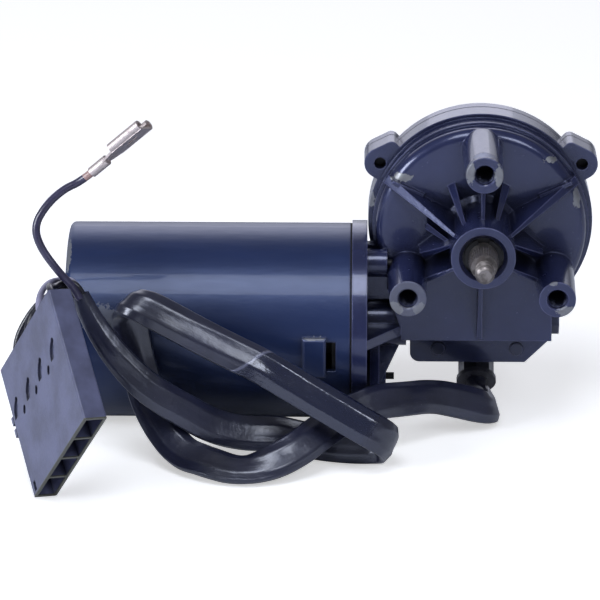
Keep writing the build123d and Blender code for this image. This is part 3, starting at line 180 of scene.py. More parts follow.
class Nodes:
    """A node tree under construction."""

    def __init__(self, tree: bpy.types.NodeTree) -> None:
        """Take up a node tree."""
        self.tree = tree

    def node(
        self, kind: str, settings: dict | None = None, inputs: dict | None = None
    ) -> bpy.types.Node:
        """Add a node.

        Args:
            kind: the node's type.
            settings: its settings, which are set first.
            inputs: values or links of its sockets, by name or number.

        Returns:
            The node.
        """
        made = self.tree.nodes.new(kind)
        for name, value in (settings or {}).items():
            setattr(made, name, value)
        for key, value in (inputs or {}).items():
            self.feed(made.inputs[key], value)
        return made

    def feed(self, socket: bpy.types.NodeSocket, value: Any) -> None:
        """Link or set a socket.

        Args:
            socket: the input.
            value: a term, a socket, a number, a vector or a tuple.
        """
        if isinstance(value, Term):
            value = value.socket
        if isinstance(value, bpy.types.NodeSocket):
            self.tree.links.new(value, socket)
        elif isinstance(value, tuple) and len(value) == 3 and len(socket.default_value) == 4:
            socket.default_value = (*value, 1.0)
        else:
            socket.default_value = value

    def term(
        self, kind: str, settings: dict | None = None, inputs: dict | None = None, out: Any = 0
    ) -> Term:
        """Add a node and take the output of that name or number as a term."""
        return Term(self, self.node(kind, settings, inputs).outputs[out])

    def blend(self, share: Any, first: Any, second: Any) -> bpy.types.NodeSocket:
        """Blend two colours by the second one's share, which is from 0 to 1."""
        inputs = {0: share, 6: first, 7: second}
        return self.node("ShaderNodeMix", {"data_type": "RGBA"}, inputs).outputs[2]

    def vector(self, operation: str, *vectors: Any) -> bpy.types.Node:
        """Add a Vector Math node that takes these vectors."""
        settings = {"operation": operation}
        return self.node("ShaderNodeVectorMath", settings, dict(enumerate(vectors)))

    def dot(self, first: Any, second: Any) -> Term:
        """The dot product of two vectors."""
        return Term(self, self.vector("DOT_PRODUCT", first, second).outputs["Value"])


@dataclass(frozen=True)
class Patches:
    """Soft-edged patches, cut from a noise between two of its values."""

    size: float
    layers: float
    low: float
    high: float


SPECKS = Patches(0.5, 2.0, 0.68, 0.76)


class Shader(Nodes):
    """A material under construction, which ends in its principled shader."""

    noise_roughness = 0.6
    openness_samples = 6
    rounding_samples = 4

    def __init__(self, name: str) -> None:
        """Start a material.

        Args:
            name: the material's name.
        """
        self.material = bpy.data.materials.new(name)
        self.material.use_nodes = True
        super().__init__(self.material.node_tree)
        self.surface = self.tree.nodes["Principled BSDF"]
        self.place = self.node("ShaderNodeTexCoord").outputs["Object"]

    def stretched(self, stretch: Point = EVEN) -> bpy.types.NodeSocket:
        """The object's coordinates, which make a pattern this many times longer on each axis."""
        inputs = {"Vector": self.place, "Scale": tuple(1.0 / (MM * long) for long in stretch)}
        return self.node("ShaderNodeMapping", None, inputs).outputs[0]

    def noise(self, size: float, layers: float = 3.0, stretch: Point = EVEN) -> Term:
        """A noise pattern.

        Args:
            size: the size of its blotches.
            layers: how many finer layers it has.
            stretch: how many times longer the blotches are along each axis.

        Returns:
            The noise, about 0.5 in the middle.
        """
        inputs = {
            "Vector": self.stretched(stretch),
            "Scale": 1.0 / size,
            "Detail": layers,
            "Roughness": self.noise_roughness,
        }
        return self.term("ShaderNodeTexNoise", None, inputs)

    def patches(self, cut: Patches, stretch: Point = EVEN) -> Term:
        """A mask of soft-edged patches."""
        return self.noise(cut.size, cut.layers, stretch).step(cut.low, cut.high)

    def along(self, way: Point) -> Term:
        """How far a spot lies along a direction."""
        return self.dot(self.stretched(), way)

    def attribute(self, name: str) -> Term:
        """A number that the mesh carries."""
        return self.term("ShaderNodeAttribute", {"attribute_name": name}, None, "Fac")

    def distance(self, centre: Point, reach: Point) -> Term:
        """How far a spot is from a centre, counted in reaches along each axis.

        Args:
            centre: the centre.
            reach: the reach along each axis.

        Returns:
            The distance, which is 1 at the reach.
        """
        apart = self.vector("SUBTRACT", self.stretched(), centre).outputs[0]
        shares = tuple(1.0 / length for length in reach)
        counted = self.vector("MULTIPLY", apart, shares).outputs[0]
        return Term(self, self.vector("LENGTH", counted).outputs["Value"])

    def open_to_light(self, reach: float) -> Term:
        """How open a spot lies: 1 in the open, less in recesses whose walls are within reach."""
        settings = {"samples": self.openness_samples}
        return self.term("ShaderNodeAmbientOcclusion", settings, {"Distance": reach * MM}, "AO")

    def rounded(self, radius: float) -> bpy.types.NodeSocket:
        """A normal that rounds the sharp edges to a radius."""
        settings = {"samples": self.rounding_samples}
        return self.node("ShaderNodeBevel", settings, {"Radius": radius * MM}).outputs[0]

    def facing(self, normal: bpy.types.NodeSocket) -> Term:
        """How near a normal is to the surface's own, where 1 is the same."""
        return self.dot(normal, self.node("ShaderNodeNewGeometry").outputs["Normal"])

    def bump(
        self, height: Term, depth: float, under: bpy.types.NodeSocket | None = None
    ) -> bpy.types.NodeSocket:
        """Turn a height into a bumped normal.

        Args:
            height: the height, from 0 to 1.
            depth: how deep a height of 1 is.
            under: a normal that this one adds to.

        Returns:
            The normal.
        """
        inputs = {"Height": height, "Distance": depth * MM, "Strength": 1.0}
        if under is not None:
            inputs["Normal"] = under
        return self.node("ShaderNodeBump", None, inputs).outputs[0]

    def finish(self, **sockets: Any) -> bpy.types.Material:
        """Set the principled shader's sockets.

        Args:
            sockets: values or links, named as the sockets with underscores for spaces.

        Returns:
            The finished material.
        """
        for name, value in sockets.items():
            self.feed(self.surface.inputs[name.replace("_", " ")], value)
        return self.material


@dataclass(frozen=True)
class Scuff:
    """A place where paint is rubbed or knocked off."""

    centre: Point
    reach: Point
    strength: float = 1.0


@dataclass(frozen=True)
class Paint:
    """Glossy sprayed paint over metal, with dust in it, scuffs down to the metal, painted shade in
    recesses and painted highlights along sharp edges.
    """

    name: str
    colour: Colour = (0.014, 0.018, 0.058)
    sheen: Colour = (0.62, 0.68, 1.0)
    roughness: float = 0.16
    coat: float = 0.60
    grain: float = 1.6
    grain_depth: float = 0.05
    streak: Point = EVEN
    recess: float = 9.0
    scuffs: tuple[Scuff, ...] = ()

    specular: float = 0.85
    coat_roughness: float = 0.05
    clouds: Patches = Patches(22.0, 3.0, 0.3, 0.7)
    cloud_lift: float = 1.35
    mottle: float = 2.6
    mottle_layers: float = 4.0
    mottle_roughens: float = 0.16

    dust: Colour = (0.16, 0.17, 0.24)
    dust_specks: Patches = Patches(0.55, 2.0, 0.70, 0.78)
    dust_drifts: Patches = Patches(9.0, 2.0, 0.45, 0.70)
    dust_share: float = 0.35
    dust_roughens: float = 0.3

    # Painted shade: spots deep in recesses, within the recess reach, darken towards this colour and
    # lose some of their coat.
    shade: Colour = (0.003, 0.003, 0.006)
    shade_span: Pair = (0.95, 0.35)
    shade_share: float = 0.75
    shade_dulls: float = 0.5

    # Painted highlight: along sharp edges, which the normal rounds to the edge radius, the paint
    # lightens towards the colour below.
    edge: float = 0.85
    painted_edge_highlight: Colour = (0.17, 0.18, 0.34)
    painted_edge_highlight_span: Pair = (0.99, 0.85)
    painted_edge_highlight_share: float = 0.6

    metal: Colour = (0.42, 0.43, 0.45)
    metal_dark: float = 0.55
    metal_share: float = 0.9
    metal_roughens: float = 0.22
    paint_depth: float = 0.12
    pitted: float = 0.5
    chips: Patches = Patches(0.8, 3.0, 0.80, 0.84)
    fray: float = 1.6
    fray_size: float = 1.3
    fray_layers: float = 5.0
    scuff_span: Pair = (1.0, 0.85)

    def make(self) -> bpy.types.Material:
        """Build the material.

        Returns:
            The material.
        """
        shader = Shader(self.name)
        mottle = shader.noise(self.mottle, self.mottle_layers, self.streak)
        dust = shader.patches(self.dust_specks) * shader.patches(self.dust_drifts)
        # Painted shade in recesses.
        deep = shader.open_to_light(self.recess).step(*self.shade_span)
        rounded = shader.rounded(self.edge)
        # Painted highlight along sharp edges outside recesses.
        painted_edge_highlight = shader.facing(rounded).step(*self.painted_edge_highlight_span) * (1.0 - deep)
        bare = self.worn(shader)
        clouds = shader.patches(self.clouds, self.streak)
        tone = shader.blend(clouds, self.colour, scaled(self.colour, self.cloud_lift))
        tone = shader.blend(dust * self.dust_share, tone, self.dust)
        # Painted shade darkens the recesses, then painted highlight lightens the edges.
        tone = shader.blend(deep * self.shade_share, tone, self.shade)
        tone = shader.blend(painted_edge_highlight * self.painted_edge_highlight_share, tone, self.painted_edge_highlight)
        metal = shader.blend(mottle, self.metal, scaled(self.metal, self.metal_dark))
        rough = mottle * self.mottle_roughens + self.roughness + dust * self.dust_roughens
        grain = shader.noise(self.grain, stretch=self.streak)
        normal = shader.bump(grain, self.grain_depth, rounded)
        lost = bare * (mottle * self.pitted + (1.0 - self.pitted)) * -1.0
        return shader.finish(
            Base_Color=shader.blend(bare, tone, metal),
            Roughness=rough + bare * self.metal_roughens,
            Metallic=bare * self.metal_share,
            Specular_IOR_Level=self.specular,
            Specular_Tint=(*self.sheen, 1.0),
            Coat_Weight=(1.0 - bare) * (self.coat - deep * self.shade_dulls * self.coat),
            Coat_Roughness=self.coat_roughness,
            Normal=shader.bump(lost, self.paint_depth, normal),
        )

    def worn(self, shader: Shader) -> Term:
        """Where bare metal shows.

        Args:
            shader: the material under construction.

        Returns:
            A mask of 1 where the paint is off.
        """
        ragged = (shader.noise(self.fray_size, self.fray_layers) - 0.5) * self.fray
        mask = shader.patches(self.chips)
        for scuff in self.scuffs:
            far = shader.distance(scuff.centre, scuff.reach) + ragged
            mask = mask.maths("MAXIMUM", far.step(*self.scuff_span) * scuff.strength)
        return mask


@dataclass(frozen=True)
class Metal:
    """Bare metal: turned, drawn or pressed, with stains in blotches."""

    name: str
    colour: Colour
    stain: Colour
    stained: float
    roughness: float
    stretch: Point = EVEN
    grain: float = 0.6
    grain_layers: float = 4.0
    grain_depth: float = 0.03
    grain_roughens: float = 0.2
    blotches: Patches = Patches(3.5, 4.0, 0.42, 0.72)
    stain_dulls: float = 0.5
    stain_roughens: float = 0.3

    def make(self) -> bpy.types.Material:
        """Build the material.

        Returns:
            The material.
        """
        shader = Shader(self.name)
        grain = shader.noise(self.grain, self.grain_layers, self.stretch)
        blotch = shader.patches(self.blotches) * self.stained
        return shader.finish(
            Base_Color=shader.blend(blotch, self.colour, self.stain),
            Metallic=1.0 - blotch * self.stain_dulls,
            Roughness=grain * self.grain_roughens + self.roughness + blotch * self.stain_roughens,
            Normal=shader.bump(grain, self.grain_depth),
        )


@dataclass(frozen=True)
class Moulding:
    """Moulded plastic, rubber, fibre or carbon: a fine grain, faint flow marks, dust and painted
    shade in recesses.

    Where end_way is given, what lies past end_level along it takes the end's own colour.
    """

    name: str
    colour: Colour
    roughness: float
    grain: float = 0.8
    grain_depth: float = 0.03
    variation: float = 0.25
    coat: float = 0.0
    dust: float = 0.15
    recess: float = 3.5
    end_way: Point | None = None
    end_level: float = 0.0
    end_colour: Colour = (0.085, 0.085, 0.060)

    end_soft: float = 0.3
    edge: float = 0.35
    grain_roughens: float = 0.2
    coat_roughness: float = 0.12
    flow: Patches = Patches(12.0, 3.0, 0.3, 0.7)
    specks: Patches = SPECKS
    speck_colour: Colour = (0.4, 0.4, 0.45)
    speck_roughens: float = 0.3
    # Painted shade: spots deep in recesses darken to this share of the colour.
    shade: float = 0.06
    shade_span: Pair = (0.92, 0.45)
    shade_share: float = 0.85

    def make(self) -> bpy.types.Material:
        """Build the material.

        Returns:
            The material.
        """
        shader = Shader(self.name)
        grain = shader.noise(self.grain)
        specks = shader.patches(self.specks) * self.dust
        deep = shader.open_to_light(self.recess).step(*self.shade_span)
        dark = scaled(self.colour, 1.0 - self.variation)
        light = scaled(self.colour, 1.0 + self.variation)
        tone = shader.blend(shader.patches(self.flow), dark, light)
        # Painted shade in recesses.
        tone = shader.blend(deep * self.shade_share, tone, scaled(self.colour, self.shade))
        if self.end_way is not None:
            end = shader.along(self.end_way).step(self.end_level - self.end_soft, self.end_level)
            tone = shader.blend(end, tone, self.end_colour)
        rough = grain * self.grain_roughens + self.roughness + specks * self.speck_roughens
        return shader.finish(
            Base_Color=shader.blend(specks, tone, self.speck_colour),
            Roughness=rough,
            Coat_Weight=self.coat,
            Coat_Roughness=self.coat_roughness,
            Normal=shader.bump(grain, self.grain_depth, shader.rounded(self.edge)),
        )


@dataclass(frozen=True)
class SleeveVinyl:
    """The cable's thin glossy vinyl sleeve, with wrinkles, streaks, a smoother wrapped part, and
    painted light at its folds and along the wrap's edge.
    """

    name: str = "sleeve_vinyl"
    colour: Colour = (0.007, 0.008, 0.020)
    light: Colour = (0.019, 0.021, 0.048)
    sheen: Colour = (0.82, 0.86, 1.0)
    roughness: float = 0.24
    specular: float = 1.0
    coat: float = 0.72
    coat_roughness: float = 0.20

    girth: float = 14.0
    layers: float = 3.0
    cloud_scale: float = 0.045
    cloud_span: Pair = (0.3, 0.7)
    wrinkle_scale: float = 0.22
    wrinkle_depth: float = 0.30
    streak_along: float = 0.12
    streak_girth: float = 30.0
    streak_scale: float = 0.5
    streak_depth: float = 0.09
    streak_roughens: float = 0.14
    grain: float = 0.7
    grain_depth: float = 0.015

    # Painted light: a lighter lilac where bends squeeze the sleeve, standing in for light that
    # shows through its folds.
    painted_fold_light: Colour = (0.12, 0.12, 0.22)
    painted_fold_light_span: Pair = (0.3, 1.0)
    painted_fold_light_share: float = 0.45
    specks: Patches = SPECKS
    speck_colour: Colour = (0.3, 0.3, 0.4)
    speck_share: float = 0.25
    speck_roughens: float = 0.3

    wrap_colour: Colour = (0.006, 0.010, 0.034)
    wrap_share: float = 0.8
    wrap_from: float = 273.0
    wrap_to: float = 322.0
    wrap_slant: float = 10.9
    wrap_rise: float = 0.8
    wrap_fade: float = 3.0
    wrap_depth: float = 0.25
    wrap_evens: float = 0.6
    wrap_smooths: float = 0.14
    wrap_coat: float = 0.2
    # Painted highlight: a pale line along the wrap's slanted edge.
    painted_lip_highlight: Colour = (0.22, 0.23, 0.34)
    painted_lip_highlight_share: float = 0.6
    lip_before: float = 0.9
    lip_after: float = 1.1

    def make(self) -> bpy.types.Material:
        """Build the material from the numbers that the sleeve's mesh carries.

        Returns:
            The material.
        """
        shader = Shader(self.name)
        along, around = shader.attribute("along"), shader.attribute("around")
        # Painted light in the tight folds.
        painted_fold_light_mask = shader.attribute("fold").step(*self.painted_fold_light_span)
        skin = (along, around * self.girth)
        cloud = self.pattern(shader, *skin, self.cloud_scale).step(*self.cloud_span)
        wrinkle = self.pattern(shader, *skin, self.wrinkle_scale)
        drawn = (along * self.streak_along, around * self.streak_girth)
        streak = self.pattern(shader, *drawn, self.streak_scale)
        specks = shader.patches(self.specks) * self.speck_share
        slanted = along - (around - 0.5) * self.wrap_slant
        wrap = slanted.step(self.wrap_from - self.wrap_rise, self.wrap_from)
        wrap = wrap * along.step(self.wrap_to, self.wrap_to - self.wrap_fade)
        # Painted highlight along the wrap's edge.
        painted_lip_highlight_mask = slanted.step(self.wrap_from - self.lip_before, self.wrap_from)
        painted_lip_highlight_mask = painted_lip_highlight_mask * slanted.step(self.wrap_from + self.lip_after, self.wrap_from)
        tone = shader.blend(cloud * (1.0 - wrap * self.wrap_evens), self.colour, self.light)
        tone = shader.blend(wrap * self.wrap_share, tone, self.wrap_colour)
        tone = shader.blend(painted_fold_light_mask * self.painted_fold_light_share, tone, self.painted_fold_light)
        tone = shader.blend(painted_lip_highlight_mask * self.painted_lip_highlight_share, tone, self.painted_lip_highlight)
        rough = streak * self.streak_roughens + self.roughness - wrap * self.wrap_smooths
        normal = shader.bump(wrinkle, self.wrinkle_depth)
        normal = shader.bump(wrap, self.wrap_depth, normal)
        normal = shader.bump(streak, self.streak_depth, normal)
        normal = shader.bump(shader.noise(self.grain), self.grain_depth, normal)
        return shader.finish(
            Base_Color=shader.blend(specks, tone, self.speck_colour),
            Roughness=rough + specks * self.speck_roughens,
            Specular_IOR_Level=self.specular,
            Specular_Tint=(*self.sheen, 1.0),
            Coat_Weight=self.coat + wrap * self.wrap_coat,
            Coat_Roughness=self.coat_roughness,
            Normal=normal,
        )

    def pattern(self, shader: Shader, along: Term, around: Term, scale: float) -> Term:
        """A noise on the sleeve's unrolled skin.

        Args:
            shader: the material under construction.
            along: the place along the sleeve.
            around: the place round it.
            scale: the noise's scale.

        Returns:
            The noise.
        """
        place = shader.node("ShaderNodeCombineXYZ", None, {0: along, 1: around}).outputs[0]
        inputs = {"Vector": place, "Scale": scale, "Detail": self.layers}
        return shader.term("ShaderNodeTexNoise", None, inputs)


@dataclass(frozen=True)
class Windings:
    """Enamelled copper wire wound in layers."""

    name: str
    colour: Colour = (0.40, 0.13, 0.05)
    wire: float = 0.9
    turn_depth: float = 0.25
    way: Point = (0.0, 1.0, 0.35)
    wander: float = 2.0
    wander_size: float = 8.0
    wander_layers: float = 2.0
    cloud_size: float = 5.0
    dark: float = 0.45
    metallic: float = 0.75
    roughness: float = 0.34
    coat: float = 0.6

    def make(self) -> bpy.types.Material:
        """Build the material.

        Returns:
            The material.
        """
        shader = Shader(self.name)
        wander = shader.noise(self.wander_size, self.wander_layers) * self.wander
        turns = (shader.along(self.way) + wander) * (2 * math.pi / self.wire)
        clouds = shader.noise(self.cloud_size)
        return shader.finish(
            Base_Color=shader.blend(clouds, self.colour, scaled(self.colour, self.dark)),
            Metallic=self.metallic,
            Roughness=self.roughness,
            Coat_Weight=self.coat,
            Normal=shader.bump(turns.maths("SINE") * 0.5 + 0.5, self.turn_depth),
        )


Finish = Paint | Metal | Moulding | Windings


@dataclass
class Piece:
    """A new piece under construction, shaped with Blender's own operators."""

    name: str
    slot: str
    body: Body
    smooth: float = 40.0
    thing: bpy.types.Object = field(init=False)

    def take(self) -> None:
        """Take the object that an operator has just added."""
        self.thing = bpy.context.active_object
        self.thing.name = self.thing.data.name = self.name

    def modify(self, kind: str, **settings: Any) -> None:
        """Add a modifier and apply it.

        Args:
            kind: the modifier's type.
            settings: its settings.
        """
        added = self.thing.modifiers.new(kind.title(), kind)
        for name, value in settings.items():
            setattr(added, name, value)
        bpy.ops.object.modifier_apply(modifier=added.name)

    def declare(self) -> None:
        """Attach the piece to its body."""
        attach(self.thing, self.body.value)
        LOG.info("built %s", self.name)

    def close(self, material: bpy.types.Material) -> None:
        """Args:
            material: its finish.
        """
        bpy.ops.object.transform_apply(location=True, rotation=True, scale=True)
        bpy.ops.object.shade_smooth_by_angle(angle=math.radians(self.smooth))
        self.thing.data.materials.clear()
        self.thing.data.materials.append(material)
        self.declare()
        deselect()

    def copy(self, name: str, move: Vector) -> None:
        """Copy the finished piece with its own mesh.

        Args:
            name: the copy's name.
            move: how far the copy is moved, in metres.
        """
        twin = Piece(name, self.slot, self.body)
        twin.thing = self.thing.copy()
        twin.thing.data = self.thing.data.copy()
        twin.thing.name = twin.thing.data.name = name
        bpy.context.scene.collection.objects.link(twin.thing)
        twin.thing.data.transform(Matrix.Translation(move))
        twin.declare()


@dataclass(frozen=True)
class Thread:
    """A screw thread's ridge about a line that runs backwards along Y."""

    radius: float
    pitch: float
    front: float
    back: float
    outside: bool
    height: float
    steps: int = 40
    sunk: float = 0.05
    flank: float = 0.44
    weld: float = 0.001

    def build(self, piece: Piece, centre: Pair, finish: bpy.types.Material) -> None:
        """Build the ridge.

        Args:
            piece: the piece that it becomes.
            centre: X and Z of the thread's axis.
            finish: its finish.
        """
        way = 1.0 if self.outside else -1.0
        root = self.radius - way * self.sunk
        turns = max(1, round((self.back - self.front) / self.pitch) - 1)
        half = 0.5 * self.pitch
        corners = (
            (self.radius + way * self.height, 0.0),
            (root, self.flank * self.pitch),
            (root, -self.flank * self.pitch),
        )
        deselect()
        bpy.ops.mesh.primitive_circle_add(
            vertices=len(corners), radius=half * MM, fill_type="NOTHING"
        )
        piece.take()
        for vertex, (out, up) in zip(piece.thing.data.vertices, corners):
            vertex.co = metres((out, 0.0, up))
        piece.modify(
            "SCREW", angle=2 * math.pi, screw_offset=self.pitch * MM, iterations=turns,
            steps=self.steps, render_steps=self.steps, use_merge_vertices=False,
        )
        bpy.ops.object.mode_set(mode="EDIT")
        bpy.ops.mesh.select_all(action="SELECT")
        bpy.ops.mesh.remove_doubles(threshold=self.weld * MM)
        bpy.ops.mesh.fill_holes(sides=4)
        bpy.ops.mesh.select_all(action="SELECT")
        bpy.ops.mesh.normals_make_consistent(inside=False)
        bpy.ops.object.mode_set(mode="OBJECT")
        piece.thing.rotation_euler = (math.radians(-90.0), 0.0, 0.0)
        piece.thing.location = metres((centre[0], self.front + half, centre[1]))
        piece.close(finish)


@dataclass(frozen=True)
class Route:
    """A cord's line: the control points of one smooth spline."""

    name: str
    points: tuple[Point, ...]
    steps: int = 16
    round_steps: int = 4

    def curve(self, radius: float = 0.0) -> bpy.types.Object:
        """Make the spline's curve object.

        Args:
            radius: the cord's radius, or 0 for a bare line.

        Returns:
            The curve object.
        """
        shape = bpy.data.curves.new(self.name, "CURVE")
        shape.dimensions = "3D"
        shape.resolution_u = self.steps
        spline = shape.splines.new("NURBS")
        spline.points.add(len(self.points) - 1)
        for knot, point in zip(spline.points, self.points):
            knot.co = (*metres(point), 1.0)
        spline.order_u = 3
        spline.use_endpoint_u = True
        if radius:
            shape.bevel_depth = radius * MM
            shape.bevel_resolution = self.round_steps
            shape.use_fill_caps = True
        thing = bpy.data.objects.new(self.name, shape)
        bpy.context.scene.collection.objects.link(thing)
        return thing

    def line(self) -> list[Vector]:
        """The points of the smooth line.

        Returns:
            The points from start to end, in metres.
        """
        thing = self.curve()
        bpy.context.view_layer.update()
        evaluated = thing.evaluated_get(bpy.context.evaluated_depsgraph_get())
        drawn = bpy.data.meshes.new_from_object(evaluated)
        points = [vertex.co.copy() for vertex in drawn.vertices]
        bpy.data.objects.remove(thing)
        bpy.data.meshes.remove(drawn)
        return points


def length_of(line: list[Vector]) -> float:
    """The length of a line of points."""
    return sum((b - a).length for a, b in zip(line, line[1:]))


def spaced(line: list[Vector], step: float) -> list[Vector]:
    """Space the points of a line evenly.

    Args:
        line: its points.
        step: the spacing, in the points' own unit.

    Returns:
        The evenly spaced points, with both ends.
    """
    runs = [0.0]
    for a, b in zip(line, line[1:]):
        runs.append(runs[-1] + (b - a).length)
    count = max(2, round(runs[-1] / step))
    found, at = [], 0
    for index in range(count + 1):
        want = runs[-1] * index / count
        while at < len(line) - 2 and runs[at + 1] < want:
            at += 1
        share = (want - runs[at]) / max(runs[at + 1] - runs[at], TINY)
        found.append(line[at].lerp(line[at + 1], min(max(share, 0.0), 1.0)))
    return found


def softened(values: list[float], reach: int) -> list[float]:
    """Spread each value over its neighbours.

    Args:
        values: the values.
        reach: how many neighbours on each side.

    Returns:
        The running means.
    """
    count = len(values)
    spans = [values[max(0, at - reach):min(count, at + reach + 1)] for at in range(count)]
    return [sum(span) / len(span) for span in spans]


@dataclass(frozen=True)
class FlatSleeve:
    """The cable's vinyl sleeve: a soft tube that lies flattened on the wires inside it."""

    width: float = 12.8
    thickness: float = 5.2
    neck_width: float = 8.2
    neck_thickness: float = 7.4
    neck_long: float = 16.0
    mouth_width: float = 6.4
    mouth_deep: float = 9.0
    taper_long: float = 75.0
    wall: float = 0.45
    ring: int = 64
    step: float = 1.0
    smooth: float = 60.0
    route: Route = Route("sleeve", SLEEVE_POINTS)

    # A share of the length, and the way that the flat side turns there. A fold turns it over.
    facings: tuple[tuple[float, Point], ...] = (
        (0.0, (1.0, 0.0, 0.0)), (0.03, (1.0, -0.1, 0.0)), (0.065, (0.15, -0.82, 0.56)),
        (0.13, (0.0, -0.79, 0.61)), (0.17, (0.0, -0.90, 0.43)), (0.245, (0.0, -0.90, 0.43)),
        (0.285, (0.0, -0.45, 0.89)), (0.32, (0.0, -0.50, 0.87)), (0.36, (0.0, -0.94, 0.33)),
        (0.45, (0.05, -0.94, 0.33)), (0.47, (0.47, 0.0, -0.88)), (0.495, (0.0, 0.84, -0.54)),
        (0.585, (0.0, 0.80, -0.60)), (0.60, (0.0, 0.88, -0.47)), (0.685, (0.0, 0.90, -0.43)),
        (0.712, (-0.93, 0.05, 0.36)), (0.74, (0.0, -0.94, 0.33)), (0.80, (0.0, -0.90, 0.43)),
        (0.84, (0.0, -0.78, 0.62)), (0.89, (0.0, -0.80, 0.60)), (0.93, (0.0, -0.94, 0.33)),
        (1.0, (0.0, -0.94, 0.33)),
    )

    # Half of the flat section: each place across it and its height, as shares of the half sizes.
    # The creases, which are the corners nearer the middle than crease_inner, wander sideways.
    profile: tuple[Pair, ...] = (
        (-1.0, 0.0), (-0.985, 0.36), (-0.52, 0.95), (0.48, 1.06), (0.93, 0.52), (1.0, 0.0)
    )
    profile_soft: float = 0.06
    crease_inner: float = 0.6
    crease_wander: float = 0.22
    crease_long: float = 48.0
    crease_side: float = 4.0
    crease_row: float = 0.7
    dent: float = 0.26
    dent_long: float = 16.0
    dent_across: float = 1.6
    dent_side: float = 3.0
    round_until: float = 1.1
    flat_over: float = 0.8

    # A bend in the flat side's own plane squeezes the sleeve rounder. Its grip is a curvature
    # per metre.
    bend_grip: float = 105.0
    bend_reach: int = 5
    squeezed_flat: float = 0.35
    squeezed_thin: float = 0.10

    def facing(self, share: float) -> Vector:
        """The way that the sleeve's flat side turns.

        Args:
            share: the share of the sleeve's length, from 0 to 1.

        Returns:
            The direction, as a unit vector.
        """
        for (low, first), (high, second) in zip(self.facings, self.facings[1:]):
            if share <= high:
                turned = Vector(first).lerp(Vector(second), (share - low) / (high - low))
                return turned.normalized()
        return Vector(self.facings[-1][1]).normalized()

    def section(self, long: float, wide: float, thick: float, inward: float) -> list[Pair]:
        """The sleeve's section: flat sides that meet in creases which wander along it.

        Args:
            long: the place along the length.
            wide: the section's width.
            thick: its thickness.
            inward: how far the line lies inside the outer skin.

        Returns:
            The points of the section, across and up.
        """
        flat = min(1.0, max(0.0, (wide / thick - self.round_until) / self.flat_over))
        points = []
        for index in range(self.ring):
            angle = 2 * math.pi * index / self.ring
            across, side = math.cos(angle), math.copysign(1.0, math.sin(angle))
            crease = Vector((long / self.crease_long, self.crease_side * side, self.crease_row))
            dent = Vector((long / self.dent_long, self.dent_across * across, self.dent_side * side))
            shift = self.crease_wander * noise.noise(crease)
            body = abs(math.sin(angle))
            body += (self.facet(across, shift) - body) * flat
            height = 0.5 * thick - inward + self.dent * flat * noise.noise(dent)
            points.append(((0.5 * wide - inward) * across, side * body * height))
        return points

    def facet(self, across: float, shift: float) -> float:
        """The height of a flat-sided section with rounded creases.

        Args:
            across: the place across the section, from -1 to 1.
            shift: how far the creases have wandered.

        Returns:
            The height, where 1 is half of the thickness.
        """
        total = 0.0
        steps = (-self.profile_soft, 0.0, self.profile_soft)
        for step in steps:
            spot = min(1.0, max(-1.0, across + step * (1.0 - abs(across))))
            for (low, first), (high, second) in zip(self.profile, self.profile[1:]):
                low += shift * (abs(low) < self.crease_inner)
                high += shift * (abs(high) < self.crease_inner)
                if spot <= high:
                    total += first + (second - first) * max(0.0, spot - low) / (high - low)
                    break
        return total / len(steps)

    def frames(self, line: list[Vector]) -> list[tuple[Vector, Vector, float]]:
        """The section's directions and how far the bends squeeze it.

        Args:
            line: the evenly spaced centres.

        Returns:
            For each centre, the wide way, the thin way and its freedom: 1, or less in a bend.
        """
        ways, bends = [], []
        last = len(line) - 1
        for index, centre in enumerate(line):
            before, after = line[max(index - 1, 0)], line[min(index + 1, last)]
            along = (after - before).normalized()
            wide = along.cross(self.facing(index / last)).normalized()
            bend = Vector()
            if 0 < index < last:
                gap = (after - before).length / 2
                bend = (after - centre - (centre - before)) / (gap * gap)
            ways.append((wide, wide.cross(along).normalized()))
            bends.append(abs(bend.dot(wide)))
        tight = softened(bends, self.bend_reach)
        free = [1.0 / (1.0 + (curve / self.bend_grip) ** 2) for curve in tight]
        return [(wide, thin, freedom) for (wide, thin), freedom in zip(ways, free)]

    def sizes(self, long: float, total: float, free: float) -> Pair:
        """The section's width and thickness.

        Args:
            long: the place along the length.
            total: the length.
            free: 1 where no bend squeezes the section, less in a bend.

        Returns:
            The width and the thickness.
        """
        opened = min(1.0, long / self.neck_long)
        opened = opened * opened * (3 - 2 * opened)
        width = self.neck_width + (self.width - self.neck_width) * opened
        thick = self.neck_thickness + (self.thickness - self.neck_thickness) * opened
        closed = min(1.0, (total - long) / self.taper_long)
        width = self.mouth_width + (width - self.mouth_width) * closed * (2 - closed)
        flat = self.squeezed_flat + (1.0 - self.squeezed_flat) * free
        return thick + (width - thick) * flat, thick * (1.0 - self.squeezed_thin * (1 - free))

    def skin(self, line: list[Vector]) -> tuple[list[Vector], list[tuple], list[Point]]:
        """The sleeve's skin, which turns in at the mouth and runs back a little way inside.

        Args:
            line: the evenly spaced centres.

        Returns:
            The vertices in metres, the faces, and each vertex's place along and round and its fold.
        """
        verts, faces, marks = [], [], []
        total = length_of(line) / MM
        frames = self.frames(line)
        last = len(line) - 1
        rings = [(index, 0.0) for index in range(last + 1)]
        rings += [(last - back, self.wall) for back in range(round(self.mouth_deep / self.step))]
        for index, inward in rings:
            long = index / last * total
            wide, thin, free = frames[index]
            width, thick = self.sizes(long, total, free)
            for spot, (out, up) in enumerate(self.section(long, width, thick, inward)):
                spot_at = line[index] + wide * out * MM + thin * up * MM
                spot_at.z = max(spot_at.z, (FLOOR_Z + inward) * MM)
                verts.append(spot_at)
                marks.append((long, abs(2.0 * spot / self.ring - 1.0), 1.0 - free))
        for row in range(len(rings) - 1):
            a, b = row * self.ring, (row + 1) * self.ring
            for spot in range(self.ring):
                after = (spot + 1) % self.ring
                faces.append((a + spot, a + after, b + after, b + spot))
        faces.append(tuple(range(self.ring - 1, -1, -1)))
        faces.append(tuple(range((len(rings) - 1) * self.ring, len(rings) * self.ring)))
        return verts, faces, marks

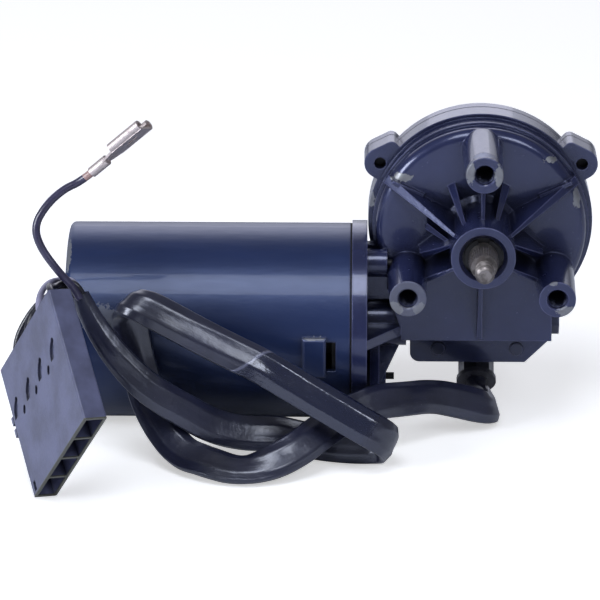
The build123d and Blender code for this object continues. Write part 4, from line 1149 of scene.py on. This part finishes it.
    def build(self, finish: bpy.types.Material) -> None:
        """Args:
            finish: the sleeve's finish.
        """
        line = spaced(self.route.line(), self.step * MM)
        verts, faces, marks = self.skin(line)
        mesh = bpy.data.meshes.new("sleeve")
        mesh.from_pydata(verts, [], faces)
        for name, values in zip(("along", "around", "fold"), zip(*marks)):
            mesh.attributes.new(name, "FLOAT", "POINT").data.foreach_set("value", values)
        mesh.update()
        thing = bpy.data.objects.new("sleeve", mesh)
        bpy.context.scene.collection.objects.link(thing)
        deselect()
        thing.select_set(True)
        bpy.context.view_layer.objects.active = thing
        bpy.ops.object.mode_set(mode="EDIT")
        bpy.ops.mesh.select_all(action="SELECT")
        bpy.ops.mesh.normals_make_consistent(inside=False)
        bpy.ops.object.mode_set(mode="OBJECT")
        bpy.ops.object.shade_smooth_by_angle(angle=math.radians(self.smooth))
        deselect()
        mesh.materials.append(finish)
        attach(thing, Body.CASING.value)
        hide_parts("harness_sleeve")
        length_of(line)
        LOG.info("built sleeve, %.0f mm long", length_of(line) / MM)


@dataclass(frozen=True)
class Wire:
    """A round insulated wire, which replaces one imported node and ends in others."""

    route: Route
    radius: float
    node: str
    far_end: str
    end_nodes: tuple[str, ...]

    def build(self, finish: bpy.types.Material) -> None:
        """Args:
            finish: its finish.
        """
        length = length_of(self.route.line())
        thing = self.route.curve(self.radius)
        thing.data.materials.append(finish)
        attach(thing, Body.CASING.value)
        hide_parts(self.node)
        LOG.info("built %s, %.0f mm long", self.route.name, length / MM)


@dataclass(frozen=True)
class Harness:
    """The cable: its sleeve, the leads to the plug and the earth wire."""

    lead_r: float = 1.1
    earth_r: float = 1.4
    pale_lead: int = 2
    sleeve: FlatSleeve = FlatSleeve()
    vinyl: SleeveVinyl = SleeveVinyl()
    black: Moulding = Moulding("lead_vinyl", (0.012, 0.012, 0.022), 0.20, coat=0.5, dust=0.1)
    pale: Moulding = Moulding("pale_lead_vinyl", (0.30, 0.29, 0.42), 0.20, coat=0.5, dust=0.1)

    # The earth wire's bared strands show at its crimp.
    earth: Moulding = Moulding(
        "earth_wire_vinyl", (0.040, 0.036, 0.080), 0.20, coat=0.5, dust=0.1,
        end_way=(0.74, 0.0, 0.67), end_level=-81.8, end_colour=(0.42, 0.27, 0.25),
    )

    def build(self) -> None:
        """Build the sleeve, the leads and the earth wire."""
        self.sleeve.build(self.vinyl.make())
        black, pale, earth = self.black.make(), self.pale.make(), self.earth.make()
        plug = ("plug_housing", "plug_terminals")
        for number, points in enumerate(LEAD_POINTS, 1):
            lead = Wire(Route(f"lead_{number}", points), self.lead_r, "plug_leads", "plug", plug)
            lead.build(pale if number == self.pale_lead else black)
        route = Route("earth_wire_line", EARTH_POINTS)
        Wire(route, self.earth_r, "earth_wire", "fitting", ("earth_terminal",)).build(earth)


@dataclass(frozen=True)
class Threads:
    """The screw threads of the stud and of the three mounting posts."""

    stud: Thread = Thread(radius=3.0, pitch=1.0, front=-18.3, back=-10.9, outside=True, height=0.30)
    post: Thread = Thread(radius=3.4, pitch=1.0, front=1.2, back=17.0, outside=False, height=0.35)
    post_circle: float = 60.0
    post_angles: tuple[float, ...] = (90.0, 210.0, 330.0)

    def build(self, steel: bpy.types.Material, bore: bpy.types.Material) -> None:
        """Build the threads.

        Args:
            steel: the stud's finish.
            bore: the finish of the posts' bores.
        """
        stud = Piece("stud_thread", "steel", Body.OUTPUT_SHAFT)
        self.stud.build(stud, (0.0, 0.0), steel)
        radius = 0.5 * self.post_circle
        angles = [math.radians(angle) for angle in self.post_angles]
        places = [(radius * math.cos(angle), radius * math.sin(angle)) for angle in angles]
        first = Piece("post_thread_1", "casting", Body.CASING)
        self.post.build(first, places[0], bore)
        for number, (x, z) in enumerate(places[1:], 2):
            move = metres((x - places[0][0], 0.0, z - places[0][1]))
            first.copy(f"post_thread_{number}", move)


@dataclass(frozen=True)
class Wardrobe:
    """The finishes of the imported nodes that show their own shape."""

    casting: Paint = Paint(
        "casting_paint",
        scuffs=(
            Scuff((-28.4, 30.5, 19.8), (4.5, 2.5, 1.6)),
            Scuff((-32.5, 32.0, 25.0), (2.2, 3.0, 1.4), 0.8),
            Scuff((26.4, 30.5, 26.6), (5.0, 2.5, 1.4)),
            Scuff((33.6, 30.8, 12.6), (1.6, 2.5, 4.2)),
            Scuff((-26.0, 0.0, -15.0), (9.5, 0.9, 9.5), 0.28),
            Scuff((-30.5, 0.0, -18.5), (3.2, 0.9, 3.0), 0.8),
            Scuff((-21.5, 0.0, -18.8), (3.0, 0.9, 2.4), 0.7),
            Scuff((-5.2, 0.8, 31.5), (2.3, 1.8, 5.2), 0.85),
            Scuff((5.2, 0.8, 29.8), (2.1, 1.8, 5.0), 0.85),
            Scuff((0.0, 3.2, 36.2), (6.0, 2.6, 1.8), 0.65),
            Scuff((29.8, 0.2, -19.4), (4.2, 0.9, 2.2), 0.85),
            Scuff((24.4, 0.2, -9.0), (1.6, 0.9, 1.0), 0.8),
            Scuff((-38.8, 42.0, 8.0), (1.2, 3.0, 3.0), 0.8),
            Scuff((41.2, 42.0, 12.0), (1.4, 3.0, 4.0), 0.9),
            Scuff((-22.0, 42.5, 37.5), (5.0, 3.0, 1.4), 0.6),
        ),
    )
    # The can's long recess reach paints shade on it where the sleeve lies close in front.
    can: Paint = Paint(
        "can_paint", (0.010, 0.020, 0.070), (0.54, 0.65, 1.0), roughness=0.28, coat=0.24,
        grain=2.4, grain_depth=0.06, streak=(3.0, 1.0, 1.0), recess=26.0,
        scuffs=(
            Scuff((-145.7, 22.5, -6.0), (1.1, 10.5, 7.0), 0.75),
            Scuff((-146.6, 14.0, -24.0), (0.8, 6.0, 3.0), 0.8),
            Scuff((-133.8, 8.0, -25.5), (6.5, 4.0, 5.5), 0.35),
            Scuff((-58.7, 4.6, -31.4), (5.0, 2.0, 0.8), 0.8),
        ),
    )
    outfits: tuple[tuple[Finish, str], ...] = (
        (casting, "gear_housing gear_cover"),
        (can, "motor_can"),
        (
            Metal("bright_steel", (0.36, 0.35, 0.35), (0.10, 0.08, 0.06), 0.5, 0.30),
            "armature_shaft thrust_washer tail_bush",
        ),
        (Metal("oily_steel", (0.34, 0.31, 0.30), (0.03, 0.026, 0.026), 0.8, 0.30), "drive_shaft"),
        (
            Metal("plated_screws", (0.28, 0.27, 0.25), (0.06, 0.05, 0.05), 0.4, 0.34),
            "brush_springs",
        ),
        (
            Paint("painted_fasteners", (0.010, 0.011, 0.030), roughness=0.24),
            "cover_rivets thrust_screw thrust_nut",
        ),
        (
            Metal("blackened_steel", (0.045, 0.045, 0.048), (0.02, 0.018, 0.018), 0.4, 0.38),
            "shaft_washer shaft_clip through_bolts cover_screws",
        ),
        (
            Metal(
                "core_laminations", (0.16, 0.15, 0.15), (0.05, 0.04, 0.04), 0.5, 0.42,
                stretch=(1.0, 12.0, 12.0),
            ),
            "armature_core",
        ),
        (
            Metal("terminal_brass", (0.76, 0.68, 0.66), (0.30, 0.25, 0.24), 0.5, 0.42),
            "earth_terminal",
        ),
        (
            Metal("sintered_bronze", (0.34, 0.20, 0.10), (0.10, 0.05, 0.03), 0.5, 0.45),
            "rear_bush front_bush shaft_bushes",
        ),
        (
            Metal("commutator_copper", (0.55, 0.24, 0.12), (0.16, 0.06, 0.03), 0.4, 0.28),
            "commutator",
        ),
        (
            Metal("contact_brass", (0.60, 0.43, 0.17), (0.20, 0.12, 0.05), 0.3, 0.30),
            "park_contacts park_disc plug_terminals",
        ),
        (Windings("enamelled_copper"), "armature_coils"),
        (
            Moulding("ferrite", (0.030, 0.030, 0.033), 0.45, grain=0.6, grain_depth=0.05),
            "field_magnets",
        ),
        (
            Moulding("brush_carbon", (0.018, 0.018, 0.019), 0.40, grain=0.5, grain_depth=0.04),
            "brushes",
        ),
        (
            Moulding(
                "gear_nylon", (0.62, 0.60, 0.52), 0.28, grain=1.2, grain_depth=0.02,
                variation=0.08, coat=0.2, dust=0.05,
            ),
            "worm_wheel",
        ),
        (
            Moulding("black_plastic", (0.014, 0.014, 0.016), 0.32, grain_depth=0.04),
            "brush_plate contact_board terminal_box",
        ),
        (
            Moulding("gasket_fibre", (0.010, 0.010, 0.012), 0.65, grain=0.5, grain_depth=0.06),
            "can_gasket cover_gasket",
        ),
        (
            Moulding(
                "boot_rubber", (0.042, 0.042, 0.052), 0.20, grain=0.9, grain_depth=0.04,
                variation=0.3, coat=0.8, recess=1.8,
            ),
            "cable_boot neck_seal",
        ),
        # The plug's open face is less blue than its sides.
        (
            Moulding(
                "plug_nylon", (0.100, 0.108, 0.190), 0.26, grain=0.9, grain_depth=0.04,
                variation=0.22, coat=0.25, dust=0.12,
                end_way=(0.281, -0.694, -0.663), end_level=34.5,
            ),
            "plug_housing",
        ),
    )

    def dress(self) -> dict[str, bpy.types.Material]:
        """Put every node's finish on it.

        Returns:
            The finish of each node, by the node's name.
        """
        finishes = {}
        for finish, names in self.outfits:
            finishes |= dict.fromkeys(names.split(), finish.make())
        for name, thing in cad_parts.items():
            if name not in finishes:
                LOG.info("%s is replaced", name)
                continue
            thing.data.materials.clear()
            thing.data.materials.append(finishes[name])
            LOG.info("dressed %s", name)
        return finishes


@dataclass(frozen=True)
class Lamp:
    """A square soft lamp, its size in metres. A light of pi turns a white spot full white."""

    name: str
    place: Point
    size: float
    light: float
    colour: Colour = (0.88, 0.92, 1.0)


@dataclass(frozen=True)
class Studio:
    """The camera, the floor, the lamps and the pale surround."""

    camera_place: Point = (-41.97, -1231.87, 418.30)
    camera_right: Point = (0.99985, 0.01745, 0.0)
    camera_up: Point = (-0.00580, 0.33211, 0.94322)
    lens: float = 225.43
    sensor: float = 36.0

    # These two are in metres.
    nearest: float = 0.05
    floor_size: float = 8.0

    floor_colour: Colour = (0.80, 0.82, 0.88)
    floor_glow: Colour = (0.52, 0.52, 0.52)
    floor_roughness: float = 0.9

    # The surround is bright behind the object, and dim elsewhere.
    surround: float = 0.75
    tint: Colour = (0.86, 0.88, 1.0)
    bright_way: Point = (-0.12, 0.92, 0.38)
    bright_span: Pair = (0.80, 0.95)
    dim: float = 0.17

    aim: Point = (-50.0, 20.0, -20.0)
    lamps: tuple[Lamp, ...] = (
        Lamp("top_lamp", (-150.0, -560.0, 1030.0), 0.52, 1.05),
        Lamp("left_lamp", (-1150.0, -650.0, 450.0), 0.55, 1.90),
        Lamp("right_lamp", (420.0, -790.0, 720.0), 0.38, 0.56),
        Lamp("back_lamp", (-60.0, 1120.0, 520.0), 0.60, 0.165, (0.86, 0.85, 1.0)),
    )

    def build(self) -> None:
        """Set the camera, the floor, the lamps and the world."""
        bpy.context.scene.view_settings.view_transform = "Standard"
        self.camera()
        self.floor()
        for lamp in self.lamps:
            self.light(lamp)
        self.world()

    def camera(self) -> None:
        """Set the camera."""
        shape = bpy.data.cameras.new("camera")
        shape.lens = self.lens
        shape.sensor_width = self.sensor
        shape.clip_start = self.nearest
        thing = bpy.data.objects.new("camera", shape)
        right, up = Vector(self.camera_right).normalized(), Vector(self.camera_up).normalized()
        turn = Matrix((right, up, right.cross(up))).transposed().to_4x4()
        thing.matrix_world = Matrix.Translation(metres(self.camera_place)) @ turn
        bpy.context.scene.collection.objects.link(thing)
        bpy.context.scene.camera = thing

    def floor(self) -> None:
        """Lay the pale floor, which is lighter to the camera than to the object."""
        deselect()
        spot = metres((0.0, 0.0, FLOOR_Z))
        bpy.ops.mesh.primitive_plane_add(size=self.floor_size, location=spot)
        thing = bpy.context.active_object
        thing.name = "floor"
        shader = Shader("floor")
        seen = shader.term("ShaderNodeLightPath", out="Is Camera Ray")
        material = shader.finish(
            Base_Color=shader.blend(seen, self.floor_colour, WHITE),
            Roughness=self.floor_roughness,
            Specular_IOR_Level=0.0,
            Emission_Color=shader.blend(seen, BLACK, self.floor_glow),
            Emission_Strength=1.0,
        )
        thing.data.materials.append(material)
        deselect()

    def light(self, lamp: Lamp) -> None:
        """Hang one lamp.

        Args:
            lamp: the lamp.
        """
        shape = bpy.data.lights.new(lamp.name, "AREA")
        shape.shape = "SQUARE"
        shape.size = lamp.size
        shape.color = lamp.colour
        way = metres(self.aim) - metres(lamp.place)
        shape.energy = lamp.light * math.pi * way.length ** 2
        thing = bpy.data.objects.new(lamp.name, shape)
        thing.location = metres(lamp.place)
        thing.rotation_euler = way.to_track_quat("-Z", "Y").to_euler()
        bpy.context.scene.collection.objects.link(thing)

    def world(self) -> None:
        """Surround the object with a pale light that the camera sees as plain white."""
        world = bpy.data.worlds.new("surround")
        bpy.context.scene.world = world
        world.use_nodes = True
        nodes = Nodes(world.node_tree)
        path = nodes.node("ShaderNodeLightPath").outputs
        camera = Term(nodes, path["Is Camera Ray"])
        mirrored = camera.maths("MAXIMUM", path["Is Glossy Ray"])
        seen = mirrored.maths("MAXIMUM", path["Is Transmission Ray"])
        way = nodes.node("ShaderNodeTexCoord").outputs["Generated"]
        toward = nodes.dot(way, Vector(self.bright_way).normalized())
        dome = toward.step(*self.bright_span) * (1.0 - self.dim) + self.dim
        level = seen * (1.0 - self.surround) + self.surround
        background = nodes.tree.nodes["Background"]
        nodes.feed(background.inputs["Color"], nodes.blend(camera, self.tint, WHITE))
        nodes.feed(background.inputs["Strength"], (dome * level).maths("MAXIMUM", camera))


def main() -> None:
    """Build the studio and the pieces in order."""
    logging.basicConfig(level=logging.INFO, format="%(message)s")
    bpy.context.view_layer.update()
    Studio().build()
    Harness().build()
    finishes = Wardrobe().dress()
    Threads().build(finishes["drive_shaft"], finishes["gear_housing"])


if __name__ == "__main__":
    main()
